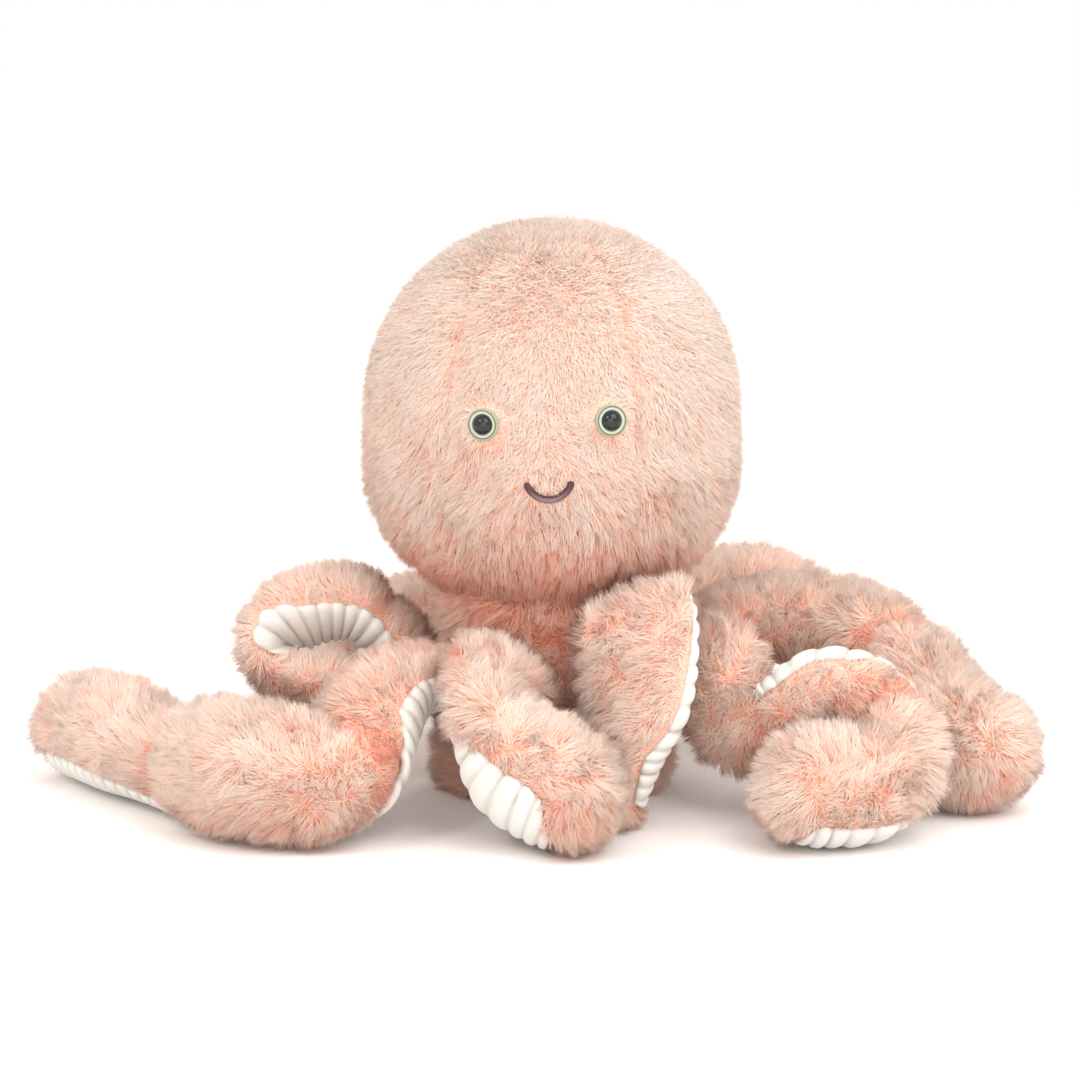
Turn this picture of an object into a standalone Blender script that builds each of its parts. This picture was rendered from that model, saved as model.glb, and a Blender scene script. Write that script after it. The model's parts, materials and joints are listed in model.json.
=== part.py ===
"""Plush octopus: a stuffed head on a skirt-shaped body with eight stuffed arms.

Lengths are in metres, +Z is up and the face looks along -Y. The body's axis is the Z axis
and the toy stands on the plane Z = 0.
"""
import math
from dataclasses import dataclass, replace

import bmesh
import bpy
from mathutils import Matrix, Vector

# Clearances
SEAM_GAP = 0.0003
TURN_GAP = 0.0008
OVERRUN = 0.004
WELD_DISTANCE = 0.00001
SHARP_ANGLE = math.radians(40)

# Head: a ball sewn from equal gores, fuller below its middle than a true ball
HEAD_RADIUS = 0.0722
HEAD_BOTTOM_HEIGHT = 0.0712
GORE_COUNT = 6
GORE_FURROW_DEPTH = 0.0013
GORE_TURN_SHARE = -0.14
GORE_STEPS = 5
HEAD_RINGS = 18
HEAD_TOP_FULLNESS = 0.94
HEAD_LOW_FULLNESS = 0.80
SLOPE_STEP = math.radians(1)

# Face: button eyes on felt rings and an embroidered smile
FACE_TURN = math.radians(-1.6)
FACE_TILT = math.radians(-2.0)
EYE_SPACING = 0.0455
EYE_HEIGHT = 0.1485
EYE_RADIUS = 0.0037
EYE_DOME_HEIGHT = 0.0030
EYE_SHANK_RADIUS = 0.0014
EYE_SHANK_LENGTH = 0.0090
RING_RADIUS = 0.0058
RING_THICKNESS = 0.0014
RING_SEAT_DEPTH = 0.0008
SMILE_WIDTH = 0.0168
SMILE_DROP = 0.0088
SMILE_HEIGHT = 0.1300
SMILE_HALF_TURN = math.radians(75)
SMILE_THREAD_RADIUS = 0.0013
SMILE_POINTS = 9
EYE_STEPS = 18

# Body: a stuffed skirt, closed below by a corded disc
BASE_RADIUS = 0.0390
BASE_THICKNESS = 0.0030
BASE_EDGE_RADIUS = 0.0008
SKIRT_WALL = 0.0050
BODY_HEIGHT = HEAD_BOTTOM_HEIGHT - TURN_GAP
BODY_RADIUS = BASE_RADIUS + SKIRT_WALL
BODY_STEPS = 32
BODY_RADIUS_SHARES = (1.00, 1.05, 1.04, 0.97, 0.92, 0.92, 0.92, 0.86)
BODY_HEIGHT_SHARES = (0.00, 0.10, 0.25, 0.45, 0.62, 0.82, 0.94, 1.00)

# Arms: stuffed limbs sewn round the body, each with a corded sole let into its underside
ARM_LENGTH = 0.190
ARM_HALF_WIDTH = 0.022
ARM_COUNT = 8
ROOT_WIDTH_SHARE = 0.80
ROOT_HALF_WIDTH = BODY_RADIUS * math.sin(math.pi / ARM_COUNT) * ROOT_WIDTH_SHARE
ROOT_HALF_HEIGHT = 0.0055
ROOT_STANDOFF = 0.0020
ROOT_HEIGHT = 0.040
FIRST_ROOT_ANGLE = math.radians(172)
SOLE_THICKNESS = 0.0035
SOLE_HALF_ANGLE = math.radians(60)
SOLE_END_HALF_ANGLE = math.radians(16)
SOLE_DEPTH_SHARE = 0.92
SOLE_ROUND_SHARE = 0.16
SOLE_START_SHARE = 0.10
TIP_ROUND_SHARE = 0.90
TIP_STEP_SHARES = (0.38, 0.72, 0.93, 0.995)
FUR_STEPS = 9
SOLE_STEPS = 4
TWIST_PASSES = 3
PINCH_SHARE = 0.66
LEAST_SHARE = 0.15
GROOVE_STEPS = 16

# Arm routes, from the sewn root to the tip. The columns are: x and y from the root, height
# above the floor, half width, half height, and the direction that the sole faces.
ARM_ROUTE_SHARES = {
    "left": (
        (-0.069, 0.010, 0.263, 0.77, 0.50, (0.1, -0.1, -1)),
        (-0.169, 0.014, 0.345, 0.94, 0.67, (0, -0.35, -1)),
        (-0.271, 0.003, 0.342, 0.94, 0.67, (0.28, -0.55, -0.9)),
        (-0.337, -0.017, 0.286, 0.86, 0.57, (1, -0.3, 0)),
        (-0.302, -0.032, 0.219, 0.86, 0.53, (0.4, 0.05, 1)),
        (-0.216, -0.042, 0.196, 0.91, 0.57, (0, 0.35, 1)),
    ),
    "left_front": (
        (-0.055, -0.060, 0.247, 0.82, 0.55, (0.2, 0.1, -1)),
        (-0.130, -0.158, 0.245, 0.95, 0.75, (0.6, 0.3, -0.7)),
        (-0.173, -0.247, 0.190, 1.05, 0.94, (0.9, 0.4, -0.3)),
        (-0.222, -0.325, 0.130, 1.05, 1.07, (0.8, 0.7, -0.3)),
        (-0.342, -0.332, 0.129, 1.09, 1.20, (0.3, 0.8, -0.7)),
        (-0.455, -0.238, 0.122, 1.07, 1.14, (0.1, 0.5, -1)),
        (-0.563, -0.108, 0.095, 0.82, 0.83, (0, 0.2, -1)),
        (-0.660, 0.015, 0.110, 1.02, 1.02, (0, -0.1, -1)),
        (-0.754, 0.132, 0.107, 0.95, 0.98, (0, -0.2, -1)),
    ),
    "front_left": (
        (-0.043, -0.063, 0.260, 0.65, 0.46, (0, 0.1, -1)),
        (-0.094, -0.132, 0.308, 0.73, 0.57, (-0.1, 0.2, -1)),
        (-0.106, -0.202, 0.288, 0.77, 0.63, (-0.5, 0, -0.8)),
        (-0.082, -0.263, 0.228, 0.94, 0.78, (-0.8, -0.1, -0.5)),
        (-0.037, -0.301, 0.163, 1.13, 1.00, (-0.8, -0.6, -0.4)),
        (0.032, -0.321, 0.124, 1.12, 1.05, (-0.8, -0.6, -0.5)),
    ),
    "front_right": (
        (0.005, -0.039, 0.274, 0.73, 0.36, (0.1, -0.5, -0.6)),
        (0.010, -0.081, 0.358, 0.95, 0.41, (0.1, -0.7, -0.5)),
        (0.018, -0.141, 0.416, 1.05, 0.43, (0.2, 0.1, -1)),
        (0.025, -0.202, 0.363, 1.08, 0.42, (0.35, 1, -0.3)),
        (0.023, -0.209, 0.263, 1.05, 0.57, (0.7, 1, 0)),
        (0.004, -0.195, 0.179, 0.92, 0.66, (1, 0.5, 0)),
        (-0.014, -0.179, 0.089, 0.80, 0.58, (1, 0.35, 0.1)),
    ),
    "right_front": (
        (0.058, -0.016, 0.268, 0.57, 0.41, (0.1, 0.1, -1)),
        (0.098, -0.066, 0.300, 0.65, 0.51, (0.1, 0.3, -0.9)),
        (0.114, -0.134, 0.266, 0.77, 0.56, (-0.1, 0.7, -0.65)),
        (0.121, -0.203, 0.191, 0.83, 0.60, (-0.3, 0.9, 0)),
        (0.200, -0.254, 0.176, 0.92, 0.71, (-0.2, 0.7, 0.7)),
        (0.300, -0.262, 0.238, 1.08, 0.83, (0, 0.5, 0.9)),
        (0.395, -0.303, 0.216, 0.93, 0.79, (0.3, 1, 0.3)),
        (0.424, -0.388, 0.150, 0.86, 0.86, (0.8, 0.3, -0.6)),
        (0.358, -0.458, 0.111, 0.95, 1.00, (0.2, -0.1, -1)),
        (0.268, -0.479, 0.112, 1.04, 1.04, (0, -0.15, -1)),
    ),
    "right": (
        (0.070, 0.036, 0.243, 0.73, 0.50, (0.1, 0.05, -1)),
        (0.186, 0.061, 0.275, 0.92, 0.72, (0.1, 0, -1)),
        (0.318, 0.043, 0.289, 1.05, 0.84, (0, 0.1, -1)),
        (0.436, -0.014, 0.277, 1.07, 0.92, (-0.2, 0.2, -1)),
        (0.515, -0.108, 0.240, 1.06, 0.93, (-0.4, 0.35, -0.8)),
        (0.562, -0.211, 0.180, 1.07, 0.95, (-0.3, 0.4, -0.85)),
        (0.600, -0.305, 0.130, 1.14, 1.12, (0, 0.4, -1)),
        (0.640, -0.355, 0.117, 1.10, 1.09, (0.1, 0.3, -1)),
    ),
    "back_right": (
        (0.016, 0.069, 0.247, 0.68, 0.45, (0, 0.1, -1)),
        (0.105, 0.163, 0.290, 0.82, 0.59, (0, 0, -1)),
        (0.252, 0.216, 0.300, 0.91, 0.68, (0, -0.1, -1)),
        (0.405, 0.228, 0.311, 0.91, 0.73, (-0.2, -0.2, -1)),
        (0.515, 0.206, 0.270, 0.88, 0.70, (-0.7, -0.2, -0.6)),
        (0.563, 0.174, 0.175, 0.86, 0.68, (-1, -0.2, 0)),
        (0.542, 0.153, 0.084, 0.82, 0.68, (-0.9, -0.2, 0.4)),
    ),
    "back_left": (
        (-0.047, 0.065, 0.253, 0.68, 0.45, (0, 0.1, -1)),
        (-0.115, 0.154, 0.279, 0.86, 0.64, (0, 0, -1)),
        (-0.189, 0.249, 0.232, 0.95, 0.82, (0, -0.2, -1)),
        (-0.252, 0.344, 0.158, 0.95, 0.86, (0, -0.2, -1)),
        (-0.305, 0.449, 0.103, 1.00, 0.95, (0, -0.1, -1)),
        (-0.347, 0.565, 0.095, 0.95, 0.91, (0, 0, -1)),
        (-0.368, 0.649, 0.095, 0.91, 0.89, (0, 0, -1)),
    ),
}

# Arms that press on each other: the first is pressed in by the second
PRESSED_PAIRS = (
    ("left_front", "left"),
    ("front_left", "left_front"),
    ("front_right", "front_left"),
    ("right_front", "front_right"),
    ("right", "right_front"),
    ("back_right", "right"),
    ("back_right", "right_front"),
    ("back_left", "left"),
    ("back_left", "back_right"),
)

# Colours as linear red, green and blue, then roughness
FUR = ("peach fur", (0.84, 0.56, 0.44), 0.95)
CORD = ("cream cord", (0.86, 0.80, 0.70), 0.90)
FELT = ("mint felt", (0.42, 0.60, 0.48), 0.95)
BUTTON = ("black button", (0.006, 0.008, 0.008), 0.08)
THREAD = ("plum thread", (0.085, 0.032, 0.030), 0.60)


def clear_scene():
    """Remove every object that the scene starts with."""
    for item in list(bpy.data.objects):
        bpy.data.objects.remove(item)


def material(finish):
    """Return the material of a finish, made once."""
    name, colour, roughness = finish
    if name in bpy.data.materials:
        return bpy.data.materials[name]
    made = bpy.data.materials.new(name)
    made.use_nodes = True
    shader = made.node_tree.nodes["Principled BSDF"]
    shader.inputs["Base Color"].default_value = (*colour, 1)
    shader.inputs["Roughness"].default_value = roughness
    shader.inputs["Metallic"].default_value = 0
    made.diffuse_color = (*colour, 1)
    return made


def new_object(name, mesh, finish, home, parent=None, origin=Vector()):
    """Make a named object from a mesh that is given in world coordinates."""
    mesh.transform(Matrix.Translation(-origin))
    made = bpy.data.objects.new(name, mesh)
    if finish:
        mesh.materials.append(material(finish))
    home.objects.link(made)
    if parent:
        made.parent = parent
        made.location = origin - parent.location
    else:
        made.location = origin
    return made


def new_empty(name, location, home):
    """Make an empty that marks where a moving piece turns."""
    made = bpy.data.objects.new(name, None)
    made.location = location
    home.objects.link(made)
    return made


def hide_cutter(cutter):
    """Keep a cutter out of the part."""
    cutter.hide_render = True
    cutter.display_type = "WIRE"


def cut(target, cutter):
    """Cut one closed shape out of another."""
    modifier = target.modifiers.new("cut", "BOOLEAN")
    modifier.operation = "DIFFERENCE"
    modifier.solver = "EXACT"
    modifier.object = cutter


def mesh_from(work, name):
    """Close a working mesh off as clean, outward-facing data."""
    bmesh.ops.remove_doubles(work, verts=work.verts, dist=WELD_DISTANCE)
    bmesh.ops.recalc_face_normals(work, faces=work.faces)
    mesh = bpy.data.meshes.new(name)
    work.to_mesh(mesh)
    work.free()
    if mesh.polygons:
        mesh.shade_smooth()
        mesh.set_sharp_from_angle(angle=SHARP_ANGLE)
    return mesh


def turned_piece(name, profile, steps, finish, home, place=Matrix(), parent=None):
    """Turn a profile of (radius, height) points, which climbs its outer side, about Z."""
    work = bmesh.new()
    points = [work.verts.new((radius, 0, height)) for radius, height in reversed(profile)]
    for first, second in zip(points, points[1:]):
        work.edges.new((first, second))
    made = new_object(name, mesh_from(work, name), finish, home, parent)
    made.matrix_world = place
    turn = made.modifiers.new("turn", "SCREW")
    turn.steps = steps
    turn.render_steps = steps
    turn.use_merge_vertices = True
    turn.merge_threshold = WELD_DISTANCE
    return made


def head_shape(angle_down, growth=0.0):
    """Return the head's (radius, height) at an angle from its top, without the furrows."""
    low = angle_down > math.pi / 2
    fullness = HEAD_LOW_FULLNESS if low else HEAD_TOP_FULLNESS
    centre = HEAD_BOTTOM_HEIGHT + HEAD_RADIUS
    rise = math.copysign(abs(math.cos(angle_down)) ** fullness, math.cos(angle_down))
    reach = max(math.sin(angle_down), 0) ** fullness
    return (HEAD_RADIUS + growth) * reach, centre + (HEAD_RADIUS + growth) * rise


def head_surface(sideways, height):
    """Return the point and outward normal of the plain head in front, at x and z."""
    centre = HEAD_BOTTOM_HEIGHT + HEAD_RADIUS
    angle = math.acos(
        math.copysign(
            (abs(height - centre) / HEAD_RADIUS)
            ** (1 / (HEAD_LOW_FULLNESS if height < centre else HEAD_TOP_FULLNESS)),
            height - centre,
        )
    )
    radius, level = head_shape(angle)
    radius_next, level_next = head_shape(angle + SLOPE_STEP)
    point = Vector((sideways, -math.sqrt(radius**2 - sideways**2), level))
    outward = Vector((point.x, point.y, 0)).normalized()
    slope = Vector((radius_next - radius, level_next - level))
    normal = outward * -slope.y + Vector((0, 0, 1)) * slope.x
    return point, normal.normalized()


def face_turn():
    """Return how the face is turned and tilted on the head."""
    centre = Vector((0, 0, HEAD_BOTTOM_HEIGHT + HEAD_RADIUS))
    turn = Matrix.Rotation(FACE_TURN, 4, "Z") @ Matrix.Rotation(FACE_TILT, 4, "Y")
    return Matrix.Translation(centre) @ turn @ Matrix.Translation(-centre)


def build_head(name, finish, home, growth=0.0):
    """Build the gored ball; a growth above zero gives the cutter that clears it."""
    work = bmesh.new()
    segments = GORE_COUNT * GORE_STEPS
    seam_angle = -math.pi / 2 + math.pi / GORE_COUNT * (1 + GORE_TURN_SHARE)
    bmesh.ops.create_uvsphere(work, u_segments=segments, v_segments=HEAD_RINGS, radius=1)
    bmesh.ops.rotate(
        work, verts=work.verts, cent=(0, 0, 0), matrix=Matrix.Rotation(seam_angle, 3, "Z"),
    )
    for vertex in work.verts:
        down = math.acos(max(-1, min(1, vertex.co.z)))
        around = math.atan2(vertex.co.y, vertex.co.x)
        radius, level = head_shape(down, growth)
        if not growth:
            crown = abs(math.sin((around - seam_angle) * GORE_COUNT / 2))
            furrow = GORE_FURROW_DEPTH * (1 - crown) ** 2 * math.sin(down)
            radius = max(radius - furrow, 0)
        vertex.co = (radius * math.cos(around), radius * math.sin(around), level)
    return new_object(name, mesh_from(work, name), finish, home)


def eye_place(side):
    """Return the place of an eye: its origin on the head's surface, its Z axis outwards."""
    point, normal = head_surface(side * EYE_SPACING / 2, EYE_HEIGHT)
    turned = face_turn() @ Matrix.Translation(point)
    return turned @ normal.to_track_quat("Z", "Y").to_matrix().to_4x4()


def build_eye(word, side, head, home, cutters):
    """Build a button eye, its felt ring, and their seat and bore in the head."""
    place = eye_place(side)
    floor = -RING_SEAT_DEPTH
    base = floor + SEAM_GAP
    hole = EYE_RADIUS + SEAM_GAP
    edge = RING_THICKNESS / 4
    ring = [
        (hole, base + edge), (hole + edge, base), (RING_RADIUS - edge, base),
        (RING_RADIUS, base + edge), (RING_RADIUS, base + RING_THICKNESS - edge),
        (RING_RADIUS - edge, base + RING_THICKNESS), (hole + edge, base + RING_THICKNESS),
        (hole, base + RING_THICKNESS - edge), (hole, base + edge),
    ]
    turned_piece(f"eye_ring_{word}", ring, EYE_STEPS, FELT, home, place, head)

    dome_steps = EYE_STEPS // 3
    dome = [(0, base - EYE_SHANK_LENGTH), (EYE_SHANK_RADIUS, base - EYE_SHANK_LENGTH)]
    dome += [(EYE_SHANK_RADIUS, base), (EYE_RADIUS, base), (EYE_RADIUS, base + RING_THICKNESS)]
    for index in range(1, dome_steps + 1):
        turn = math.pi / 2 * index / dome_steps
        level = base + RING_THICKNESS + EYE_DOME_HEIGHT * math.sin(turn)
        dome.append((EYE_RADIUS * math.cos(turn) if index < dome_steps else 0, level))
    turned_piece(f"eye_button_{word}", dome, EYE_STEPS, BUTTON, home, place, head)

    bore = EYE_SHANK_RADIUS + SEAM_GAP
    seat = RING_RADIUS + SEAM_GAP
    deep = base - EYE_SHANK_LENGTH - SEAM_GAP
    pocket = [
        (0, deep), (bore, deep), (bore, floor), (seat, floor), (seat, OVERRUN), (0, OVERRUN),
    ]
    cutter = turned_piece(f"cut_eye_{word}", pocket, EYE_STEPS, None, cutters, place)
    hide_cutter(cutter)
    cut(head, cutter)


def smile_mesh(name, thread_radius):
    """Return a tube along the smile, lying half in the head's surface."""
    line = bpy.data.curves.new(name, "CURVE")
    line.dimensions = "3D"
    line.bevel_depth = thread_radius
    line.bevel_resolution = 2
    line.use_fill_caps = True
    route = line.splines.new("POLY")
    route.points.add(SMILE_POINTS - 1)
    turned = face_turn()
    for index, point in enumerate(route.points):
        turn = (2 * index / (SMILE_POINTS - 1) - 1) * SMILE_HALF_TURN
        level = SMILE_HEIGHT - SMILE_DROP * math.cos(turn)
        spot, _ = head_surface(math.sin(turn) * SMILE_WIDTH / 2, level)
        point.co = (*(turned @ spot), 1)
    guide = bpy.data.objects.new(name, line)
    bpy.context.scene.collection.objects.link(guide)
    bpy.context.view_layer.update()
    graph = bpy.context.evaluated_depsgraph_get()
    mesh = bpy.data.meshes.new_from_object(guide.evaluated_get(graph))
    bpy.data.objects.remove(guide)
    work = bmesh.new()
    work.from_mesh(mesh)
    return mesh_from(work, name)


def body_profile(growth=0.0):
    """Return the skirt's outline from the floor to the neck."""
    return [
        (BODY_RADIUS * radius + growth, BODY_HEIGHT * height)
        for radius, height in zip(BODY_RADIUS_SHARES, BODY_HEIGHT_SHARES)
    ]


def build_body(home, cutters):
    """Build the skirt, its corded base, and the cutter that clears the skirt."""
    recess = BASE_RADIUS + SEAM_GAP
    lift = BASE_THICKNESS + SEAM_GAP
    outline = body_profile()
    closed = [(0, lift), (recess, lift), (recess, 0)] + outline + [(0, BODY_HEIGHT)]
    body = turned_piece("body_skirt", closed, BODY_STEPS, FUR, home)

    edge = BASE_EDGE_RADIUS
    disc = [
        (0, 0), (BASE_RADIUS - edge, 0), (BASE_RADIUS, edge), (BASE_RADIUS, BASE_THICKNESS),
        (0, BASE_THICKNESS),
    ]
    turned_piece("base_disc", disc, BODY_STEPS, CORD, home)

    grown = body_profile(SEAM_GAP * 2)
    shell = [(0, -OVERRUN), (grown[0][0], -OVERRUN)] + grown
    shell += [(grown[-1][0], BODY_HEIGHT + OVERRUN), (0, BODY_HEIGHT + OVERRUN)]
    clearing = turned_piece("cut_body", shell, BODY_STEPS, None, cutters)
    hide_cutter(clearing)
    return body, clearing


def blend_points(rows, position):
    """Return the smooth curve through rows of numbers, at a position counted in rows."""
    last = len(rows) - 1
    index = min(int(position), last - 1)
    part = position - index
    before, start, end, after = (
        rows[max(index - 1, 0)], rows[index], rows[index + 1], rows[min(index + 2, last)],
    )
    return [
        0.5 * (2 * b + (c - a) * part + (2 * a - 5 * b + 4 * c - d) * part**2
               + (3 * b - a - 3 * c + d) * part**3)
        for a, b, c, d in zip(before, start, end, after)
    ]


def root_place(index):
    """Return the point where an arm is sewn on, and the direction straight out from it."""
    angle = FIRST_ROOT_ANGLE + 2 * math.pi * index / ARM_COUNT
    outward = Vector((math.cos(angle), math.sin(angle), 0))
    level = ROOT_HEIGHT / BODY_HEIGHT
    shares = list(zip(BODY_HEIGHT_SHARES, BODY_RADIUS_SHARES))
    for (low, near), (high, far) in zip(shares, shares[1:]):
        if low <= level <= high:
            radius = BODY_RADIUS * (near + (far - near) * (level - low) / (high - low))
    place = outward * (radius + ROOT_STANDOFF)
    place.z = ROOT_HEIGHT
    return place, outward


@dataclass(frozen=True)
class Section:
    """One section of an arm: where it lies, how it is turned and how wide and high it is."""

    along: float
    centre: Vector
    side: Vector
    sole: Vector
    width: float
    height: float
    ahead: Vector
    bend: Vector

    def point(self, angle, inset, gap=0):
        """Return a point of the outline, at an angle from the middle of the sole.

        The inset moves it inwards, down to a least size that the gap enlarges.
        """
        deep = self.height * (SOLE_DEPTH_SHARE if math.cos(angle) > 0 else 1)
        least = self.width * LEAST_SHARE + gap
        reach = self.side * max(self.width - inset, least) * math.sin(angle)
        reach += self.sole * max(deep - inset, least) * math.cos(angle)
        return self.centre + self.pinched(reach)

    def pinched(self, reach):
        """Pinch the inside of a tight bend, where the stuffing has no room to swell."""
        if self.bend.length * self.width < LEAST_SHARE:
            return reach
        inwards = self.bend.normalized()
        swell = math.hypot(self.width * self.side.dot(inwards), self.height * self.sole.dot(inwards))
        room = PINCH_SHARE / self.bend.length
        depth = reach.dot(inwards)
        if depth <= 0 or swell <= room:
            return reach
        return reach - inwards * depth * (1 - room / swell)


def square_to(vector, ahead):
    """Return the part of a vector that is square to a direction, at unit length."""
    return (vector - ahead * vector.dot(ahead)).normalized()


def smoothed(values):
    """Return a list of vectors, each averaged with its neighbours, the ends kept."""
    middle = [
        (before + value * 2 + after) / 4
        for before, value, after in zip(values, values[1:], values[2:])
    ]
    return [values[0]] + middle + [values[-1]]


def arm_rings(index, shares):
    """Return the arm's sections from its root to the start of its rounded tip."""
    root, outward = root_place(index)
    rows = [[root.x, root.y, root.z, ROOT_HALF_WIDTH, ROOT_HALF_HEIGHT, 0, 0, -1]]
    for x, y, level, width, height, sole in shares:
        rows.append([
            root.x + ARM_LENGTH * x, root.y + ARM_LENGTH * y, ARM_LENGTH * level,
            ARM_HALF_WIDTH * width, ARM_HALF_WIDTH * height, *Vector(sole).normalized(),
        ])
    count = 2 * (len(rows) - 1)
    samples = [blend_points(rows, step / 2) for step in range(count + 1)]
    centres = [Vector(sample[:3]) for sample in samples]
    steps = [second - first for first, second in zip(centres, centres[1:])]
    lengths = [sum(step.length for step in steps[:number]) for number in range(count + 1)]

    aheads = [square_to(steps[0], outward.cross(Vector((0, 0, 1))))]
    aheads += [(first + second).normalized() for first, second in zip(steps, steps[1:])]
    aheads.append(steps[-1].normalized())
    soles = [square_to(Vector(sample[5:]), ahead) for sample, ahead in zip(samples, aheads)]
    for _ in range(TWIST_PASSES):
        soles = [square_to(sole, ahead) for sole, ahead in zip(smoothed(soles), aheads)]
    bends = [
        (second.normalized() - first.normalized()) * 2 / (first.length + second.length)
        for first, second in zip(steps, steps[1:])
    ]
    bends = smoothed([Vector()] + bends + [Vector()])
    return [
        Section(length / lengths[-1], centre, ahead.cross(sole), sole, sample[3], sample[4],
                ahead, bend)
        for length, centre, ahead, sole, sample, bend
        in zip(lengths, centres, aheads, soles, samples, bends)
    ]


def arm_sections(index, shares):
    """Return the sections with the root's round edge and the tip's round end added."""
    rings = arm_rings(index, shares)
    root = rings[0]
    slope = math.sqrt(0.5)
    start = [
        replace(root, centre=root.centre - root.ahead * root.height,
                width=root.width - root.height / 2, height=root.height * LEAST_SHARE),
        replace(root, centre=root.centre - root.ahead * root.height * slope,
                height=root.height * slope),
    ]
    tip = rings[-1]
    reach = tip.width * TIP_ROUND_SHARE
    end = [
        replace(tip, along=1 + share, centre=tip.centre + tip.ahead * reach * share,
                width=tip.width * math.sqrt(1 - share**2),
                height=tip.height * math.sqrt(1 - share**2))
        for share in TIP_STEP_SHARES
    ]
    return start + rings + end


def sole_half_angle(along):
    """Return how far the sole wraps round the arm, closing in a round end at the tip."""
    end = 1 + TIP_STEP_SHARES[0]
    left = (end - along) / SOLE_ROUND_SHARE
    if left >= 1:
        return SOLE_HALF_ANGLE
    keep = math.sqrt(max(1 - (1 - left) ** 2, 0))
    return SOLE_END_HALF_ANGLE + (SOLE_HALF_ANGLE - SOLE_END_HALF_ANGLE) * keep


def carries_sole(along):
    """Return whether a section lies within the sole's length."""
    return SOLE_START_SHARE <= along <= 1 + TIP_STEP_SHARES[0]


def spread(first, last, steps):
    """Return evenly spread values, both ends included."""
    return [first + (last - first) * step / steps for step in range(steps + 1)]


def bridge(work, loops):
    """Join rings of points by faces and close both ends."""
    for lower, upper in zip(loops, loops[1:]):
        size = len(lower)
        for index in range(size):
            following = (index + 1) % size
            work.faces.new((lower[index], lower[following], upper[following], upper[index]))
    work.faces.new(loops[0][::-1])
    work.faces.new(loops[-1])
    bmesh.ops.triangulate(work, faces=work.faces, quad_method="FIXED")


def cut_at_floor(work):
    """Cut a working mesh flat where it would reach below the floor."""
    cut_parts = bmesh.ops.bisect_plane(
        work, geom=work.verts[:] + work.edges[:] + work.faces[:],
        plane_co=(0, 0, 0), plane_no=(0, 0, -1), clear_outer=True,
    )
    rim = [item for item in cut_parts["geom_cut"] if isinstance(item, bmesh.types.BMEdge)]
    if rim:
        bmesh.ops.holes_fill(work, edges=rim)


def limb_outline(section, depth):
    """Return a section's outline: its fur side, then its underside, sunk by a depth."""
    half = sole_half_angle(section.along)
    fur = spread(half, 2 * math.pi - half, FUR_STEPS)
    under = spread(-half, half, SOLE_STEPS)
    return [section.point(angle, 0) for angle in fur] + [
        section.point(angle, depth) for angle in under
    ]


def grown_outline(section, growth):
    """Return a section's outline, grown all round."""
    half = sole_half_angle(section.along)
    fur = spread(half, 2 * math.pi - half, FUR_STEPS)
    under = spread(-half, half, SOLE_STEPS)[1:-1]
    return [section.point(angle, -growth) for angle in fur + under]


def recessed_outlines(sections):
    """Return a limb's outlines, with a step at both ends of the recess for its sole."""
    outlines = []
    carried = [carries_sole(section.along) for section in sections]
    neighbours = zip([False] + carried, carried[1:] + [False])
    for section, here, (before, after) in zip(sections, carried, neighbours):
        if here and not before:
            outlines.append(limb_outline(section, 0))
        outlines.append(limb_outline(section, SOLE_THICKNESS + SEAM_GAP if here else 0))
        if here and not after:
            outlines.append(limb_outline(section, 0))
    return outlines


def limb_mesh(name, outlines):
    """Return the closed mesh through a limb's outlines, cut flat at the floor."""
    work = bmesh.new()
    bridge(work, [[work.verts.new(point) for point in outline] for outline in outlines])
    bmesh.ops.remove_doubles(work, verts=work.verts, dist=WELD_DISTANCE)
    cut_at_floor(work)
    return mesh_from(work, name)


def sole_mesh(name, sections):
    """Return the corded sole that fills the limb's recess."""
    work = bmesh.new()
    carrying = [section for section in sections if carries_sole(section.along)]
    loops = []
    for position, section in enumerate(carrying):
        half = sole_half_angle(section.along)
        angles = spread(-half, half, SOLE_STEPS)
        angles[0] += SEAM_GAP / section.width
        angles[-1] -= SEAM_GAP / section.width
        shift = Vector()
        if position == 0:
            shift = section.ahead * SEAM_GAP
        if position == len(carrying) - 1:
            shift = section.ahead * -SEAM_GAP
        outer = [section.point(angle, 0) + shift for angle in angles]
        inner = [section.point(angle, SOLE_THICKNESS, SEAM_GAP) + shift for angle in angles]
        loops.append([work.verts.new(point) for point in inner + outer[::-1]])
    bridge(work, loops)
    cut_at_floor(work)
    return mesh_from(work, name)


def build_arm(index, word, shares, home, cutters):
    """Build one arm: limb, sole, the empty at its root, and the cutter that clears it."""
    root, _ = root_place(index)
    hinge = new_empty(f"hinge_{word}", root, home)
    sections = arm_sections(index, shares)
    recessed = limb_mesh(f"arm_{word}", recessed_outlines(sections))
    limb = new_object(f"arm_{word}", recessed, FUR, home, hinge, root)
    sole = new_object(f"sole_{word}", sole_mesh(f"sole_{word}", sections), CORD, home, hinge, root)
    grown = [grown_outline(section, SEAM_GAP * 2) for section in sections]
    cutter = new_object(f"cut_arm_{word}", limb_mesh(f"cut_arm_{word}", grown), None, cutters)
    hide_cutter(cutter)
    return limb, sole, cutter


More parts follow.
